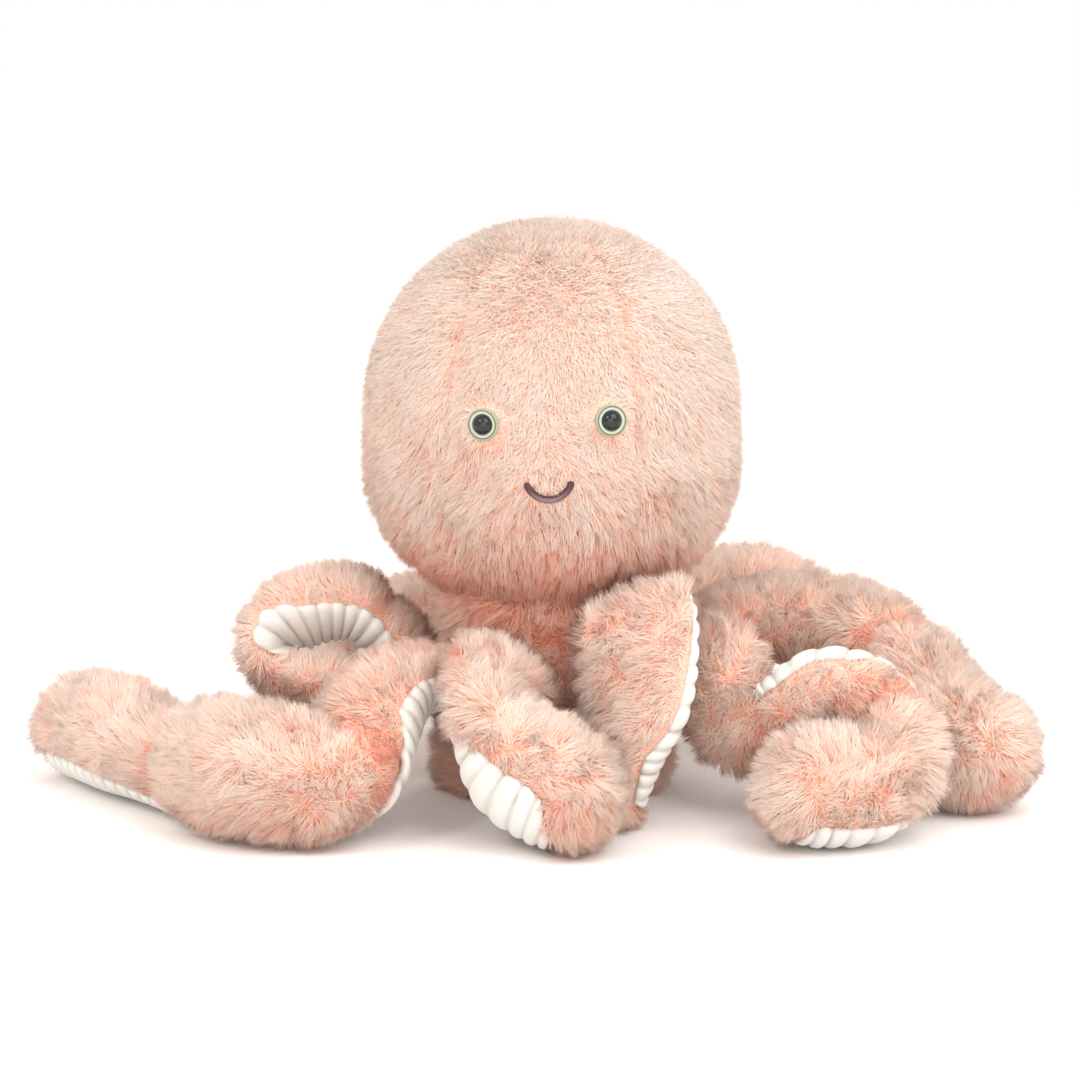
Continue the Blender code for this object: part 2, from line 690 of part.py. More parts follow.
def root_groove(index, word, cutters):
    """Return the cutter of the groove in the skirt that takes an arm's root."""
    root, outward = root_place(index)
    work = bmesh.new()
    radius = ROOT_HALF_HEIGHT + SEAM_GAP * 2
    bmesh.ops.create_cone(
        work, cap_ends=True, segments=GROOVE_STEPS, radius1=radius, radius2=radius,
        depth=2 * (ROOT_HALF_WIDTH + SEAM_GAP * 2),
    )
    across = outward.cross(Vector((0, 0, 1)))
    place = Matrix.Translation(root) @ across.to_track_quat("Z", "Y").to_matrix().to_4x4()
    bmesh.ops.transform(work, matrix=place, verts=work.verts)
    cutter = new_object(f"cut_root_{word}", mesh_from(work, f"cut_root_{word}"), None, cutters)
    hide_cutter(cutter)
    return cutter


def main():
    """Build the plush octopus."""
    clear_scene()
    home = bpy.data.collections.new("plush_octopus")
    cutters = bpy.data.collections.new("cutters")
    for collection in (home, cutters):
        bpy.context.scene.collection.children.link(collection)

    head = build_head("head", FUR, home)
    head_clearing = build_head("cut_head", None, cutters, TURN_GAP)
    hide_cutter(head_clearing)
    for word, side in (("left", -1), ("right", 1)):
        build_eye(word, side, head, home, cutters)
    new_object("smile", smile_mesh("smile", SMILE_THREAD_RADIUS), THREAD, home, head)
    groove = smile_mesh("cut_smile", SMILE_THREAD_RADIUS + SEAM_GAP)
    groove = new_object("cut_smile", groove, None, cutters)
    hide_cutter(groove)
    cut(head, groove)

    body, body_clearing = build_body(home, cutters)
    arms = {}
    for index, (word, shares) in enumerate(ARM_ROUTE_SHARES.items()):
        arms[word] = build_arm(index, word, shares, home, cutters)
        cut(body, root_groove(index, word, cutters))
    for limb, sole, _ in arms.values():
        for piece in (limb, sole):
            cut(piece, body_clearing)
            cut(piece, head_clearing)
    for pressed, pressing in PRESSED_PAIRS:
        for piece in arms[pressed][:2]:
            cut(piece, arms[pressing][2])


main()
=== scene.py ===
"""Plush octopus: pile, corded soles, button eyes and an embroidered smile.

Lengths are in metres. The toy stands on Z = 0 and looks along -Y. Every soft solid of the
frame is replaced by a stuffed backing with plush pile growing from it, and every sole by
a ribbed cord panel. The felt rings, the buttons and the smile are modelled in their places.
"""

import json
import logging
import math
from collections.abc import Callable
from dataclasses import dataclass, field, replace
from enum import Enum

import bmesh
import bpy
import numpy as np
from mathutils import Matrix, Vector, noise
from mathutils.kdtree import KDTree

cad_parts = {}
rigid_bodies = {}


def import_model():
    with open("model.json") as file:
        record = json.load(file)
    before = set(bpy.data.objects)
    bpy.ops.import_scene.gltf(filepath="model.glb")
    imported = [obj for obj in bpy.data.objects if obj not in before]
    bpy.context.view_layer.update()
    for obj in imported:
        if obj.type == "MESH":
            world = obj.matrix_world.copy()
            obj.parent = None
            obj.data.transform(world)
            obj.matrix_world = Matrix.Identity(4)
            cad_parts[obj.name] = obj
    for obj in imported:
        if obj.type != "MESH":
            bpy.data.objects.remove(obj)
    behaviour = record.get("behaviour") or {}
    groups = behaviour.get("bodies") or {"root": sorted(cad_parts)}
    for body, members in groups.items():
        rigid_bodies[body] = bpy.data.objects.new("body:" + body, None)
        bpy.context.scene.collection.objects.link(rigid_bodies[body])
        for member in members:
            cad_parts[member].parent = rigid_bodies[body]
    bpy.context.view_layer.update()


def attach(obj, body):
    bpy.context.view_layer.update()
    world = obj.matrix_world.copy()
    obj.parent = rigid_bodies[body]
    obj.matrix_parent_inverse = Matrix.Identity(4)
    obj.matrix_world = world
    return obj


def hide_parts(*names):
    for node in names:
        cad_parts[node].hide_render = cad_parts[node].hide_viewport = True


LOG = logging.getLogger("plush_octopus")
MM = 0.001
TINY = 1e-12
WELD = 0.01 * MM
# The map that a pattern on the surface reads
FLAT_UV = "OFBake"
# The attribute that holds how high a ridge stands, from 0 to 1
RIDGE = "ridge"
# How noise moves along X, Y and Z for each whole number of its seed
NOISE_STEP = (1.0, 1.7, 0.3)

# Colours as linear red, green and blue
# The pile from root to tip; the deep colours at the root are painted shade inside the pile
SALMON_DEEP = (0.90, 0.390, 0.290)
SALMON = (0.95, 0.615, 0.490)
PEACH = (1.00, 0.800, 0.685)
PEACH_PALE = (1.00, 0.900, 0.830)
# Tones that the pile is multiplied by; the red end also carries painted shade
TONE_RED = (0.99, 0.58, 0.48)
TONE_WARM = (0.99, 0.90, 0.86)
CREAM = (0.82, 0.81, 0.77)
# Painted shade on the corduroy's ribs, darkest in the grooves
CREAM_MIDDLE = (0.656, 0.648, 0.616)
CREAM_SHADE = (0.52, 0.46, 0.41)
NAP_SHADE = (0.90, 0.89, 0.87)
MINT = (0.36, 0.41, 0.29)
MINT_PALE = (0.66, 0.66, 0.56)
MINT_DARK = (0.12, 0.15, 0.08)
FELT_SHADE = (0.82, 0.86, 0.82)
BUTTON_BLACK = (0.004, 0.008, 0.006)
BUTTON_MARK = (0.010, 0.020, 0.015)
PLUM = (0.065, 0.022, 0.026)
# Painted highlight on the crest of each stitch
PLUM_GREY = (0.26, 0.17, 0.17)
WHITE = (1.0, 1.0, 1.0)
FLOOR_GREY = (0.80, 0.80, 0.80)
FLOOR_BLUSH = (1.0, 0.98, 0.97)

Rgb = tuple[float, float, float]
Way = tuple[float, float, float]
Span = tuple[float, float]
Stops = tuple[tuple[float, Rgb], ...]
BallPlace = Callable[[np.ndarray, np.ndarray], np.ndarray]
SheetPlace = Callable[[np.ndarray, np.ndarray], tuple[np.ndarray, np.ndarray]]


class Slot(Enum):
    """The record's material slots."""

    FUR = "fur"
    CORD = "cord"
    FELT = "felt"
    BUTTON = "button"
    THREAD = "thread"


class Body(Enum):
    """The frame's bodies that aren't arms."""

    SKIRT = "body"
    HEAD = "head"


class Board:
    """The node board of one material."""

    # The numbers of a mix node's colour sockets, whose names its other sockets share
    MIX_FIRST, MIX_SECOND, MIX_RESULT = 6, 7, 2

    def __init__(self, name: str, roughness: float, **sockets: float) -> None:
        """Start a material with one shader.

        Args:
            name: the material's name.
            roughness: the shader's roughness.
            sockets: other shader values, by socket name with underscores for spaces.
        """
        self.material = bpy.data.materials.new(name)
        self.material.use_nodes = True
        self.shader = self.material.node_tree.nodes["Principled BSDF"]
        self.shader.inputs["Roughness"].default_value = roughness
        for socket, value in sockets.items():
            self.shader.inputs[socket.replace("_", " ")].default_value = value

    def add(self, kind: str, **settings: object) -> bpy.types.Node:
        """Add a node.

        Args:
            kind: the node's type.
            settings: its settings, by name.

        Returns:
            The node.
        """
        node = self.material.node_tree.nodes.new(kind)
        for name, value in settings.items():
            setattr(node, name, value)
        return node

    def wire(self, source: bpy.types.NodeSocket, target: bpy.types.NodeSocket) -> None:
        """Join two sockets."""
        self.material.node_tree.links.new(source, target)

    def ridge(self) -> bpy.types.NodeSocket:
        """Return the piece's own ridge height."""
        return self.add("ShaderNodeAttribute", attribute_name=RIDGE).outputs["Fac"]

    def ramp(self, source: bpy.types.NodeSocket, stops: Stops) -> bpy.types.NodeSocket:
        """Colour a number by a ramp.

        Args:
            source: the number, from 0 to 1.
            stops: places on the ramp and their colours.

        Returns:
            The colour socket.
        """
        node = self.add("ShaderNodeValToRGB")
        marks = node.color_ramp.elements
        while len(marks) < len(stops):
            marks.new(1.0)
        for mark, (place, colour) in zip(marks, stops):
            mark.position = place
            mark.color = (*colour, 1.0)
        self.wire(source, node.inputs["Fac"])
        return node.outputs["Color"]

    def multiply(self, first: bpy.types.NodeSocket, second: bpy.types.NodeSocket) -> bpy.types.NodeSocket:
        """Multiply two colours.

        Args:
            first: one colour.
            second: the other.

        Returns:
            The product's socket.
        """
        node = self.add("ShaderNodeMix", data_type="RGBA", blend_type="MULTIPLY")
        node.inputs["Factor"].default_value = 1.0
        self.wire(first, node.inputs[self.MIX_FIRST])
        self.wire(second, node.inputs[self.MIX_SECOND])
        return node.outputs[self.MIX_RESULT]

    def grain(self, scale: float, detail: float = 3.0) -> bpy.types.NodeSocket:
        """Lay noise on the piece's own place.

        Args:
            scale: its waves for each metre.
            detail: how many finer waves lie on these.

        Returns:
            The socket of its height.
        """
        place = self.add("ShaderNodeTexCoord")
        node = self.add("ShaderNodeTexNoise")
        node.inputs["Scale"].default_value = scale
        node.inputs["Detail"].default_value = detail
        self.wire(place.outputs["Object"], node.inputs["Vector"])
        return node.outputs["Fac"]

    def bump(self, height: bpy.types.NodeSocket, depth: float, strength: float) -> None:
        """Raise the surface by a pattern.

        Args:
            height: the pattern's height, from 0 to 1.
            depth: how far it rises, in metres.
            strength: how much of that shows, from 0 to 1.
        """
        node = self.add("ShaderNodeBump")
        node.inputs["Strength"].default_value = strength
        node.inputs["Distance"].default_value = depth
        self.wire(height, node.inputs["Height"])
        self.wire(node.outputs["Normal"], self.shader.inputs["Normal"])

    def colour(self, source: bpy.types.NodeSocket) -> bpy.types.Material:
        """Give the shader its colour and return the finished material."""
        self.wire(source, self.shader.inputs["Base Color"])
        return self.material


@dataclass(frozen=True)
class PileFinish:
    """Long plush fibres: salmon at the root, pale at the tip, each in a tone of its own. The deep root is
    painted shade inside the pile, and the redder tones are partly painted shade.
    """

    name: str = "plush_pile"
    height_stops: Stops = ((0.0, SALMON_DEEP), (0.22, SALMON), (0.55, PEACH), (1.0, PEACH_PALE))
    tone_stops: Stops = ((0.0, TONE_RED), (0.5, TONE_WARM), (1.0, WHITE))
    roughness: float = 1.0
    gloss: float = 0.0

    def material(self) -> bpy.types.Material:
        """Make the material, which reads tone across and height up the fibre's own map.

        Returns:
            The material.
        """
        board = Board(self.name, self.roughness, Specular_IOR_Level=self.gloss)
        place = board.add("ShaderNodeUVMap", uv_map=FLAT_UV)
        parts = board.add("ShaderNodeSeparateXYZ")
        board.wire(place.outputs["UV"], parts.inputs["Vector"])
        height = board.ramp(parts.outputs["Y"], self.height_stops)
        tone = board.ramp(parts.outputs["X"], self.tone_stops)
        return board.colour(board.multiply(height, tone))


@dataclass(frozen=True)
class BackingFinish:
    """The knitted backing that the pile grows from."""

    name: str = "pile_backing"
    knit_stops: Stops = ((0.35, SALMON_DEEP), (0.65, SALMON))
    knit_scale: float = 900.0
    knit_depth: float = 0.4 * MM
    knit_strength: float = 0.6
    roughness: float = 0.95

    def material(self) -> bpy.types.Material:
        """Make the material.

        Returns:
            The material.
        """
        board = Board(self.name, self.roughness)
        knit = board.grain(self.knit_scale)
        board.bump(knit, self.knit_depth, self.knit_strength)
        return board.colour(board.ramp(knit, self.knit_stops))


@dataclass(frozen=True)
class CordFinish:
    """Cream corduroy: painted shade in the grooves and a short velvet nap."""

    name: str = "cream_corduroy"
    ridge_stops: Stops = ((0.0, CREAM_SHADE), (0.35, CREAM_MIDDLE), (0.75, CREAM))
    nap_stops: Stops = ((0.3, NAP_SHADE), (0.7, WHITE))
    nap_scale: float = 1600.0
    nap_depth: float = 0.25 * MM
    nap_strength: float = 0.5
    roughness: float = 0.9
    gloss: float = 0.2
    sheen: float = 0.35
    sheen_roughness: float = 0.4

    def material(self) -> bpy.types.Material:
        """Make the material, which reads the panel's own ridge height and paints shade into the grooves.

        Returns:
            The material.
        """
        board = Board(
            self.name, self.roughness, Sheen_Weight=self.sheen,
            Sheen_Roughness=self.sheen_roughness, Specular_IOR_Level=self.gloss,
        )
        shade = board.ramp(board.ridge(), self.ridge_stops)
        nap = board.grain(self.nap_scale)
        board.bump(nap, self.nap_depth, self.nap_strength)
        return board.colour(board.multiply(shade, board.ramp(nap, self.nap_stops)))


@dataclass(frozen=True)
class FeltFinish:
    """Mint felt: pale by the button, with a dark line between that and the rim."""

    name: str = "mint_felt"
    rim_stops: Stops = ((0.40, MINT_PALE), (0.56, MINT_DARK), (0.66, MINT_DARK), (0.82, MINT))
    fibre_stops: Stops = ((0.3, FELT_SHADE), (0.7, WHITE))
    fibre_scale: float = 2600.0
    fibre_detail: float = 5.0
    fibre_depth: float = 0.15 * MM
    fibre_strength: float = 0.7
    roughness: float = 0.95
    sheen: float = 0.3

    def material(self) -> bpy.types.Material:
        """Make the material, which reads how near the ring's rim a point is.

        Returns:
            The material.
        """
        board = Board(self.name, self.roughness, Sheen_Weight=self.sheen)
        shade = board.ramp(board.ridge(), self.rim_stops)
        fibre = board.grain(self.fibre_scale, self.fibre_detail)
        board.bump(fibre, self.fibre_depth, self.fibre_strength)
        return board.colour(board.multiply(shade, board.ramp(fibre, self.fibre_stops)))


@dataclass(frozen=True)
class ButtonFinish:
    """Glossy black plastic with a slight green cast and faint handling marks."""

    name: str = "black_button"
    mark_stops: Stops = ((0.3, BUTTON_BLACK), (0.8, BUTTON_MARK))
    mark_scale: float = 900.0
    roughness: float = 0.10
    gloss: float = 0.5

    def material(self) -> bpy.types.Material:
        """Make the material and return it."""
        board = Board(self.name, self.roughness, Specular_IOR_Level=self.gloss)
        return board.colour(board.ramp(board.grain(self.mark_scale), self.mark_stops))


@dataclass(frozen=True)
class ThreadFinish:
    """Plum embroidery thread with a painted highlight on top of its stitches."""

    name: str = "plum_thread"
    crest_stops: Stops = ((0.0, PLUM), (0.8, PLUM), (1.0, PLUM_GREY))
    roughness: float = 0.45
    sheen: float = 0.5
    sheen_roughness: float = 0.3

    def material(self) -> bpy.types.Material:
        """Make the material, which is paler on the crest of each stitch, a painted highlight.

        Returns:
            The material.
        """
        board = Board(
            self.name, self.roughness, Sheen_Weight=self.sheen, Sheen_Roughness=self.sheen_roughness
        )
        return board.colour(board.ramp(board.ridge(), self.crest_stops))


@dataclass
class Finishes:
    """Every material of the toy, made once."""

    pile: bpy.types.Material
    backing: bpy.types.Material
    cord: bpy.types.Material
    felt: bpy.types.Material
    button: bpy.types.Material
    thread: bpy.types.Material

    @classmethod
    def make(cls) -> "Finishes":
        """Make the materials."""
        return cls(
            PileFinish().material(), BackingFinish().material(), CordFinish().material(),
            FeltFinish().material(), ButtonFinish().material(), ThreadFinish().material(),
        )


def unit(vectors: np.ndarray) -> np.ndarray:
    """Return vectors at unit length."""
    return vectors / np.maximum(np.linalg.norm(vectors, axis=-1, keepdims=True), TINY)


def square_to(vectors: np.ndarray, axes: np.ndarray) -> np.ndarray:
    """Return the parts of vectors that are square to unit axes, at unit length."""
    return unit(vectors - axes * np.sum(vectors * axes, axis=-1, keepdims=True))


def smooth_step(low: float, high: float, value: np.ndarray) -> np.ndarray:
    """Return 0 below low and 1 above high, with a smooth rise between."""
    share = np.clip((value - low) / (high - low), 0.0, 1.0)
    return share * share * (3.0 - 2.0 * share)


def round_end(past: np.ndarray) -> np.ndarray:
    """Return a round end's size, from 1 where it starts to 0 at its tip, by the share gone past."""
    return np.sqrt(np.clip(1 - past**2, 0.0, 1.0))


def ribs(count: np.ndarray, power: float) -> np.ndarray:
    """Return ridge heights from 0 to 1 by the count of ribs gone past; a low power is blunt."""
    return np.abs(np.sin(math.pi * count)) ** power


def waves(points: np.ndarray, scale: float, seed: float) -> np.ndarray:
    """Return smooth noise from -1 to 1 at points, at a number of waves per metre."""
    shift = Vector([seed * step for step in NOISE_STEP])
    return np.array([noise.noise(Vector(point) * scale + shift) for point in points])


def stray_ways(points: np.ndarray, scale: float, seeds: tuple[float, float, float]) -> np.ndarray:
    """Return a way at each point that strays smoothly along X, Y and Z, with a seed for each."""
    return np.stack([waves(points, scale, seed) for seed in seeds], axis=1)


def tree_of(points: np.ndarray) -> KDTree:
    """Build a search tree.

    Args:
        points: rows of points.

    Returns:
        The tree, which numbers the points by their rows.
    """
    tree = KDTree(len(points))
    for index, point in enumerate(points):
        tree.insert(point, index)
    tree.balance()
    return tree


def rows_of(items: bpy.types.bpy_prop_collection, value: str, kind: type = float) -> np.ndarray:
    """Read three numbers from each item of a mesh.

    Args:
        items: the mesh's points or triangles.
        value: what is read, by its name.
        kind: the type of its numbers.

    Returns:
        Rows of three numbers.
    """
    found = np.empty(len(items) * 3, kind)
    items.foreach_get(value, found)
    return found.reshape(-1, 3)


def points_of(mesh: bpy.types.Mesh) -> np.ndarray:
    """Return a mesh's points as rows."""
    return rows_of(mesh.vertices, "co")


def normals_of(mesh: bpy.types.Mesh) -> np.ndarray:
    """Return the outward direction at each point of a mesh."""
    return rows_of(mesh.vertices, "normal")


def triangles_of(mesh: bpy.types.Mesh) -> np.ndarray:
    """Return a mesh's triangles as rows of point numbers."""
    mesh.calc_loop_triangles()
    return rows_of(mesh.loop_triangles, "vertices", np.int32)


def placed(name: str, data: bpy.types.ID) -> bpy.types.Object:
    """Put a mesh, lamp or camera in the scene.

    Args:
        name: the object's name.
        data: what it holds.

    Returns:
        The object.
    """
    item = bpy.data.objects.new(name, data)
    bpy.context.scene.collection.objects.link(item)
    return item


def piece_of(name: str, mesh: bpy.types.Mesh, material: bpy.types.Material, body: str,
             nodes: tuple[str, ...] = ()) -> bpy.types.Object:
    """Make a shown piece that rides on a body.

    Args:
        name: the piece's name.
        mesh: its mesh, in place.
        material: its finish.
        body: the frame's body that carries it.
        nodes: the frame's nodes that it stands for.

    Returns:
        The piece.
    """
    piece = placed(name, mesh)
    mesh.materials.append(material)
    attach(piece, body)
    if nodes:
        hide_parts(*nodes)
    LOG.info("%s: %d faces on %s", name, len(mesh.polygons), body)
    return piece


def thicken(piece: bpy.types.Object, thickness: float) -> None:
    """Give a panel a wall, which lies under its shown side."""
    wall = piece.modifiers.new("wall", "SOLIDIFY")
    wall.thickness, wall.offset = thickness, -1.0


def mesh_of(work: bmesh.types.BMesh, name: str, weld: float = WELD) -> bpy.types.Mesh:
    """Finish a working mesh: doubles merged, faces outwards, shaded smooth.

    A ball's faces come in another order each run. They are sorted, because pile is sown
    face by face and has to grow in the same places each time.

    Args:
        work: the working mesh, which is freed.
        name: the mesh's name.
        weld: how near two points are merged.

    Returns:
        The mesh.
    """
    bmesh.ops.remove_doubles(work, verts=work.verts, dist=weld)
    bmesh.ops.recalc_face_normals(work, faces=work.faces)
    work.verts.index_update()
    in_order = sorted(work.faces, key=lambda face: [vertex.index for vertex in face.verts])
    for number, face in enumerate(in_order):
        face.index = number
    work.faces.sort()
    mesh = bpy.data.meshes.new(name)
    work.to_mesh(mesh)
    work.free()
    mesh.shade_smooth()
    return mesh


def ball_mesh(name: str, around: int, rings: int, place: BallPlace) -> bpy.types.Mesh:
    """Map a ball onto a closed form.

    Args:
        name: the mesh's name.
        around: the number of steps around.
        rings: the number of steps from pole to pole.
        place: a function from angles down and angles around to rows of points.

    Returns:
        The mesh.
    """
    work = bmesh.new()
    bmesh.ops.create_uvsphere(work, u_segments=around, v_segments=rings, radius=1.0)
    unit_points = np.array([vertex.co[:] for vertex in work.verts])
    down = np.arccos(np.clip(unit_points[:, 2], -1.0, 1.0))
    turn = np.arctan2(unit_points[:, 1], unit_points[:, 0])
    for vertex, spot in zip(work.verts, place(down, turn)):
        vertex.co = spot
    return mesh_of(work, name)


def sheet_mesh(name: str, across: int, along: int, place: SheetPlace) -> bpy.types.Mesh:
    """Map a flat grid onto a form.

    Args:
        name: the mesh's name.
        across: the number of steps across.
        along: the number of steps along.
        place: a function from shares across and shares along to rows of points and
            their ridge heights.

    Returns:
        The mesh, with its ridge heights as an attribute and its own map.
    """
    work = bmesh.new()
    bmesh.ops.create_grid(work, x_segments=across, y_segments=along, size=0.5)
    spots = np.array([vertex.co[:2] for vertex in work.verts]) + 0.5
    points, heights = place(spots[:, 0], spots[:, 1])
    ridge = work.verts.layers.float.new(RIDGE)
    flat = work.loops.layers.uv.new(FLAT_UV)
    work.verts.ensure_lookup_table()
    for face in work.faces:
        for loop in face.loops:
            loop[flat].uv = spots[loop.vert.index]
    for vertex, point, height in zip(work.verts, points, heights):
        vertex.co = point
        vertex[ridge] = height
    return mesh_of(work, name, weld=0.0)


def turned_mesh(name: str, profile: list[tuple[float, float, float]], steps: int,
                place: Matrix) -> bpy.types.Mesh:
    """Turn a profile about Z and put it in place.

    Args:
        name: the mesh's name.
        profile: points as (radius, height, ridge height for the finish).
        steps: the number of steps around.
        place: where it goes.

    Returns:
        The mesh.
    """
    work = bmesh.new()
    ridge = work.verts.layers.float.new(RIDGE)
    points = []
    for radius, height, value in profile:
        points.append(work.verts.new((radius, 0, height)))
        points[-1][ridge] = value
    for first, second in zip(points, points[1:]):
        work.edges.new((first, second))
    bmesh.ops.spin(
        work, geom=work.verts[:] + work.edges[:], cent=(0, 0, 0), axis=(0, 0, 1),
        angle=2 * math.pi, steps=steps, use_merge=True,
    )
    bmesh.ops.transform(work, matrix=place, verts=work.verts)
    return mesh_of(work, name)


@dataclass
class Cloth:
    """A closed stuffed surface, and what grows on each of its points.

    Attributes:
        points: the surface's points.
        faces: its triangles, as rows of three point numbers.
        normals: the outward direction at each point.
        comb: the direction that the pile is brushed in, at each point.
        length: the pile's length at each point.
        cover: how thick the pile stands at each point, from 0 to 1.
        lean: how far the pile lies over at each point, in radians from upright.
        clump: how strongly the tips draw together at each point, from 0 to 1.
        blush: how much redder and darker than usual the pile is at each point, partly its own tone and
            partly painted shade; below 0 it is paler.
    """

    points: np.ndarray
    faces: np.ndarray
    normals: np.ndarray
    comb: np.ndarray
    length: np.ndarray
    cover: np.ndarray
    lean: np.ndarray
    clump: np.ndarray
    blush: np.ndarray

    @classmethod
    def on(cls, mesh: bpy.types.Mesh, comb: np.ndarray, **growth: np.ndarray | float) -> "Cloth":
        """Lay a cloth on a mesh.

        Args:
            mesh: the surface.
            comb: the brushed direction at each point.
            growth: the pile's length, cover, lean, clump, and blush with painted shade, at each point or
                all over.

        Returns:
            The cloth.
        """
        normals = normals_of(mesh)
        spread = {name: np.broadcast_to(value, len(normals)) for name, value in growth.items()}
        return cls(points_of(mesh), triangles_of(mesh), normals, square_to(comb, normals), **spread)


@dataclass(frozen=True)
class Layer:
    """One kind of fibre in the pile.

    Attributes:
        density: fibres on each square metre where the cover is full.
        length_share: its length, as a share of the pile's.
        scatter: how far its direction strays.
        gather: how strongly its tips draw into the tufts.
    """

    density: float
    width: float
    length_share: float
    scatter: float
    gather: float


@dataclass
class Roots:
    """Places on a cloth where fibres or tufts stand.

    Attributes:
        cloth: the cloth.
        chosen: the number of each place's triangle.
        mixes: how near each place is to the triangle's three corners.
        least_length: the shortest fibre, as a share of the usual, as most_length is the longest.
    """

    cloth: Cloth
    chosen: np.ndarray
    mixes: np.ndarray
    least_length: float = 0.78
    most_length: float = 1.12
    lean_scatter: float = 0.12

    @classmethod
    def sow(cls, cloth: Cloth, density: float, draw: np.random.Generator) -> "Roots":
        """Strew roots evenly over a cloth, by area and cover.

        Args:
            cloth: the cloth.
            density: roots on each square metre where the cover is full.
            draw: the source of random numbers.

        Returns:
            The roots.
        """
        corners = cloth.points[cloth.faces]
        sides = np.cross(corners[:, 1] - corners[:, 0], corners[:, 2] - corners[:, 0])
        weights = np.linalg.norm(sides, axis=1) / 2 * cloth.cover[cloth.faces].mean(axis=1)
        count = int(weights.sum() * density)
        first, second = draw.random((2, count, 1))
        flip = first + second > 1
        first, second = np.where(flip, 1 - first, first), np.where(flip, 1 - second, second)
        return cls(
            cloth, draw.choice(len(weights), count, p=weights / weights.sum()),
            np.concatenate([1 - first - second, first, second], axis=1),
        )

    def at(self, values: np.ndarray) -> np.ndarray:
        """Return a cloth value at every root."""
        return np.einsum("nc,nc...->n...", self.mixes, values[self.cloth.faces[self.chosen]])

    def tips(self, places: np.ndarray, scatter: float, length_share: float,
             draw: np.random.Generator) -> np.ndarray:
        """Return the tip of a fibre at every root.

        Args:
            places: the roots' places.
            scatter: how far directions stray.
            length_share: the fibres' length, as a share of the pile's.
            draw: the source of random numbers.

        Returns:
            Rows of tips.
        """
        count = len(places)
        normals = unit(self.at(self.cloth.normals))
        spread = draw.uniform(self.least_length, self.most_length, count)
        lengths = (self.at(self.cloth.length) * spread)[:, None] * length_share
        lean = self.at(self.cloth.lean)[:, None] + draw.normal(0, self.lean_scatter, (count, 1))
        ways = square_to(self.at(self.cloth.comb) + draw.normal(0, scatter, (count, 3)), normals)
        return places + lengths * (normals * np.cos(lean) + ways * np.sin(lean))


@dataclass
class Tufts:
    """The tufts that fibres draw into.

    Attributes:
        roots: where each stands.
        tips: where its tip is.
        tones: its tone, from 0, red, to 1, pale.
        near: the tufts nearest to each of the cloth's triangles, as rows of their numbers.
    """

    roots: np.ndarray
    tips: np.ndarray
    tones: np.ndarray
    near: np.ndarray


@dataclass
class Woven:
    """Fibres as plain arrays: points, normals, face corners, face sizes and map places."""

    points: np.ndarray
    normals: np.ndarray
    corners: np.ndarray
    sizes: np.ndarray
    spots: np.ndarray


